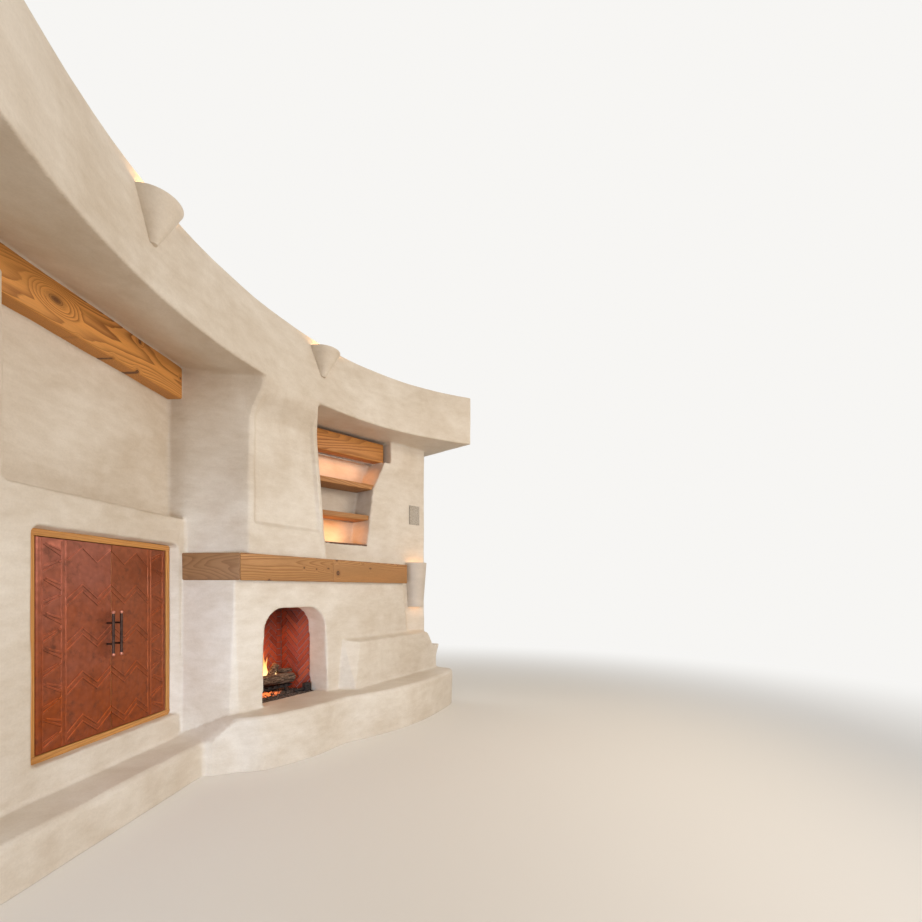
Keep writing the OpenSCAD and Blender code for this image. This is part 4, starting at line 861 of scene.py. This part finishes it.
# The plaster lights: a half-round wall light on the niche side and two cone shells under the header's top.
# Each is cast plaster on a hidden bracket, open above, with a warm lamp inside that washes the wall.
cast_plaster = plaster_material("cast_plaster", (0.60, 0.51, 0.42), (0.50, 0.42, 0.34))
for name, node, finish in (("plaster_sconce", "wall_sconce", cast_plaster),
                           ("left_shell_light", "left_light_shell", plaster),
                           ("right_shell_light", "right_light_shell", plaster)):
    piece = add_piece(name, eased(node, 0.0035, 2, 40), finish, smooth=40)
    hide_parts(node)
niche = Matrix.Translation((1.946, 0.030, 0)) @ Matrix.Rotation(-niche_turn, 4, "Z")
lamp_warm = (1.0, 0.62, 0.30)
for name, place, power in (("sconce_up", niche @ Vector((-0.161, -0.055, 1.55)), 1.3),
                           ("sconce_down", niche @ Vector((-0.161, -0.045, 1.27)), 0.8),
                           ("left_shell_lamp", Vector((-1.49, -0.52, 3.46)), 1.6),
                           ("right_shell_lamp", Vector((0.245, -0.09, 3.46)), 1.6)):
    small_lamp(name, place, power, lamp_warm, 0.03)

# The niche's lamp strips: slim metal channels behind the lintel, under the lower shelf and along the back of
# the sill. Their orange light fills the top and bottom bays and leaves the middle one in shade.
strip_metal, tree, surface = new_material("strip_metal")
brushed = mottle(tree, object_place(tree, (6, 90, 90), across_niche), 1, 4)
steel = colour_steps(tree, brushed, [(0.3, (0.36, 0.33, 0.30)), (0.7, (0.50, 0.47, 0.43))])
tree.links.new(steel, surface.inputs["Base Color"])
surface.inputs["Metallic"].default_value = 0.7
surface.inputs["Roughness"].default_value = 0.45
strips = bmesh.new()
channel_deep, channel_high = 0.022, 0.012
strip_places = ((2.772, 0.225, -1.37, -0.62), (2.099, 0.240, -1.42, -0.86), (1.847, 0.262, -1.42, -0.93))
for z, depth, x0, x1 in strip_places:
    made = bmesh.ops.create_cube(strips, size=1, matrix=niche @ Matrix.Translation(((x0 + x1) / 2, depth, z))
                                 @ Matrix.Diagonal((x1 - x0, channel_deep, channel_high, 1)))["verts"]
    round_edges(strips, list(dict.fromkeys(e for v in made for e in v.link_edges)), 0.002, 2)
add_piece("lamp_strips", strips, strip_metal, smooth=35)


def strip_light(name, z, depth, x0, x1, aim_y, aim_z, power, colour):
    place = niche @ Vector(((x0 + x1) / 2, depth, z))
    aim = niche @ Vector(((x0 + x1) / 2, depth + aim_y, z + aim_z))
    lamp, holder = hang_lamp(name, "AREA", place, power, colour)
    lamp.shape = "RECTANGLE"
    lamp.size, lamp.size_y = x1 - x0, 0.03
    turn = (aim - place).to_track_quat("-Z", "Y").to_matrix().to_4x4()
    along = niche.to_3x3() @ Vector((1, 0, 0))
    side = turn.to_3x3() @ Vector((1, 0, 0))
    swing = math.atan2(side.cross(along).dot((aim - place).normalized()), side.dot(along))
    holder.matrix_world = (Matrix.Translation(place) @
                           Matrix.Rotation(swing, 4, (aim - place).normalized()) @ turn)


lamp_orange = (1.0, 0.36, 0.075)
strip_light("top_bay_light", 2.745, 0.16, -1.36, -0.74, 0.08, -0.30, 1.0, lamp_orange)
strip_light("bottom_bay_light", 2.085, 0.16, -1.40, -0.92, 0.08, -0.30, 0.8, lamp_orange)
strip_light("sill_light", 1.862, 0.225, -1.40, -0.95, 0.03, 0.20, 0.5, (1.0, 0.50, 0.14))

# The speaker's cover: a steel frame with a perforated sheet in it, painted near the plaster's colour.
# It is screwed over the speaker in the wall, its rim flush on the plaster.
grille, tree, surface = new_material("perforated_steel")
place = object_place(tree, turn=across_niche)
across = add_node(tree, "SeparateXYZ", {0: place}).outputs
flat = add_node(tree, "CombineXYZ", {0: across[0], 1: across[2]})
holes = add_node(tree, "TexVoronoi", {"Vector": flat.outputs[0], "Scale": 190, "Randomness": 0.0},
                 voronoi_dimensions="2D")
shaded_holes = ranged(tree, holes.outputs["Distance"], 0.26, 0.34)
brushwork = mottle(tree, place, 12, 4)
paint = colour_steps(tree, brushwork, [(0.3, (0.47, 0.40, 0.32)), (0.7, (0.54, 0.465, 0.375))])
# The holes are painted dark: painted shade of the hollow behind the sheet. The same mask dents the bump.
dress(tree, surface, blend(tree, shaded_holes, (0.10, 0.085, 0.07), paint), 0.6, 0, shaded_holes, 0.4, 0.001)
cover = add_piece("speaker_cover", eased("speaker_grille", 0.0018, 2), grille, smooth=35)
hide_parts("speaker_grille")

low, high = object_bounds()
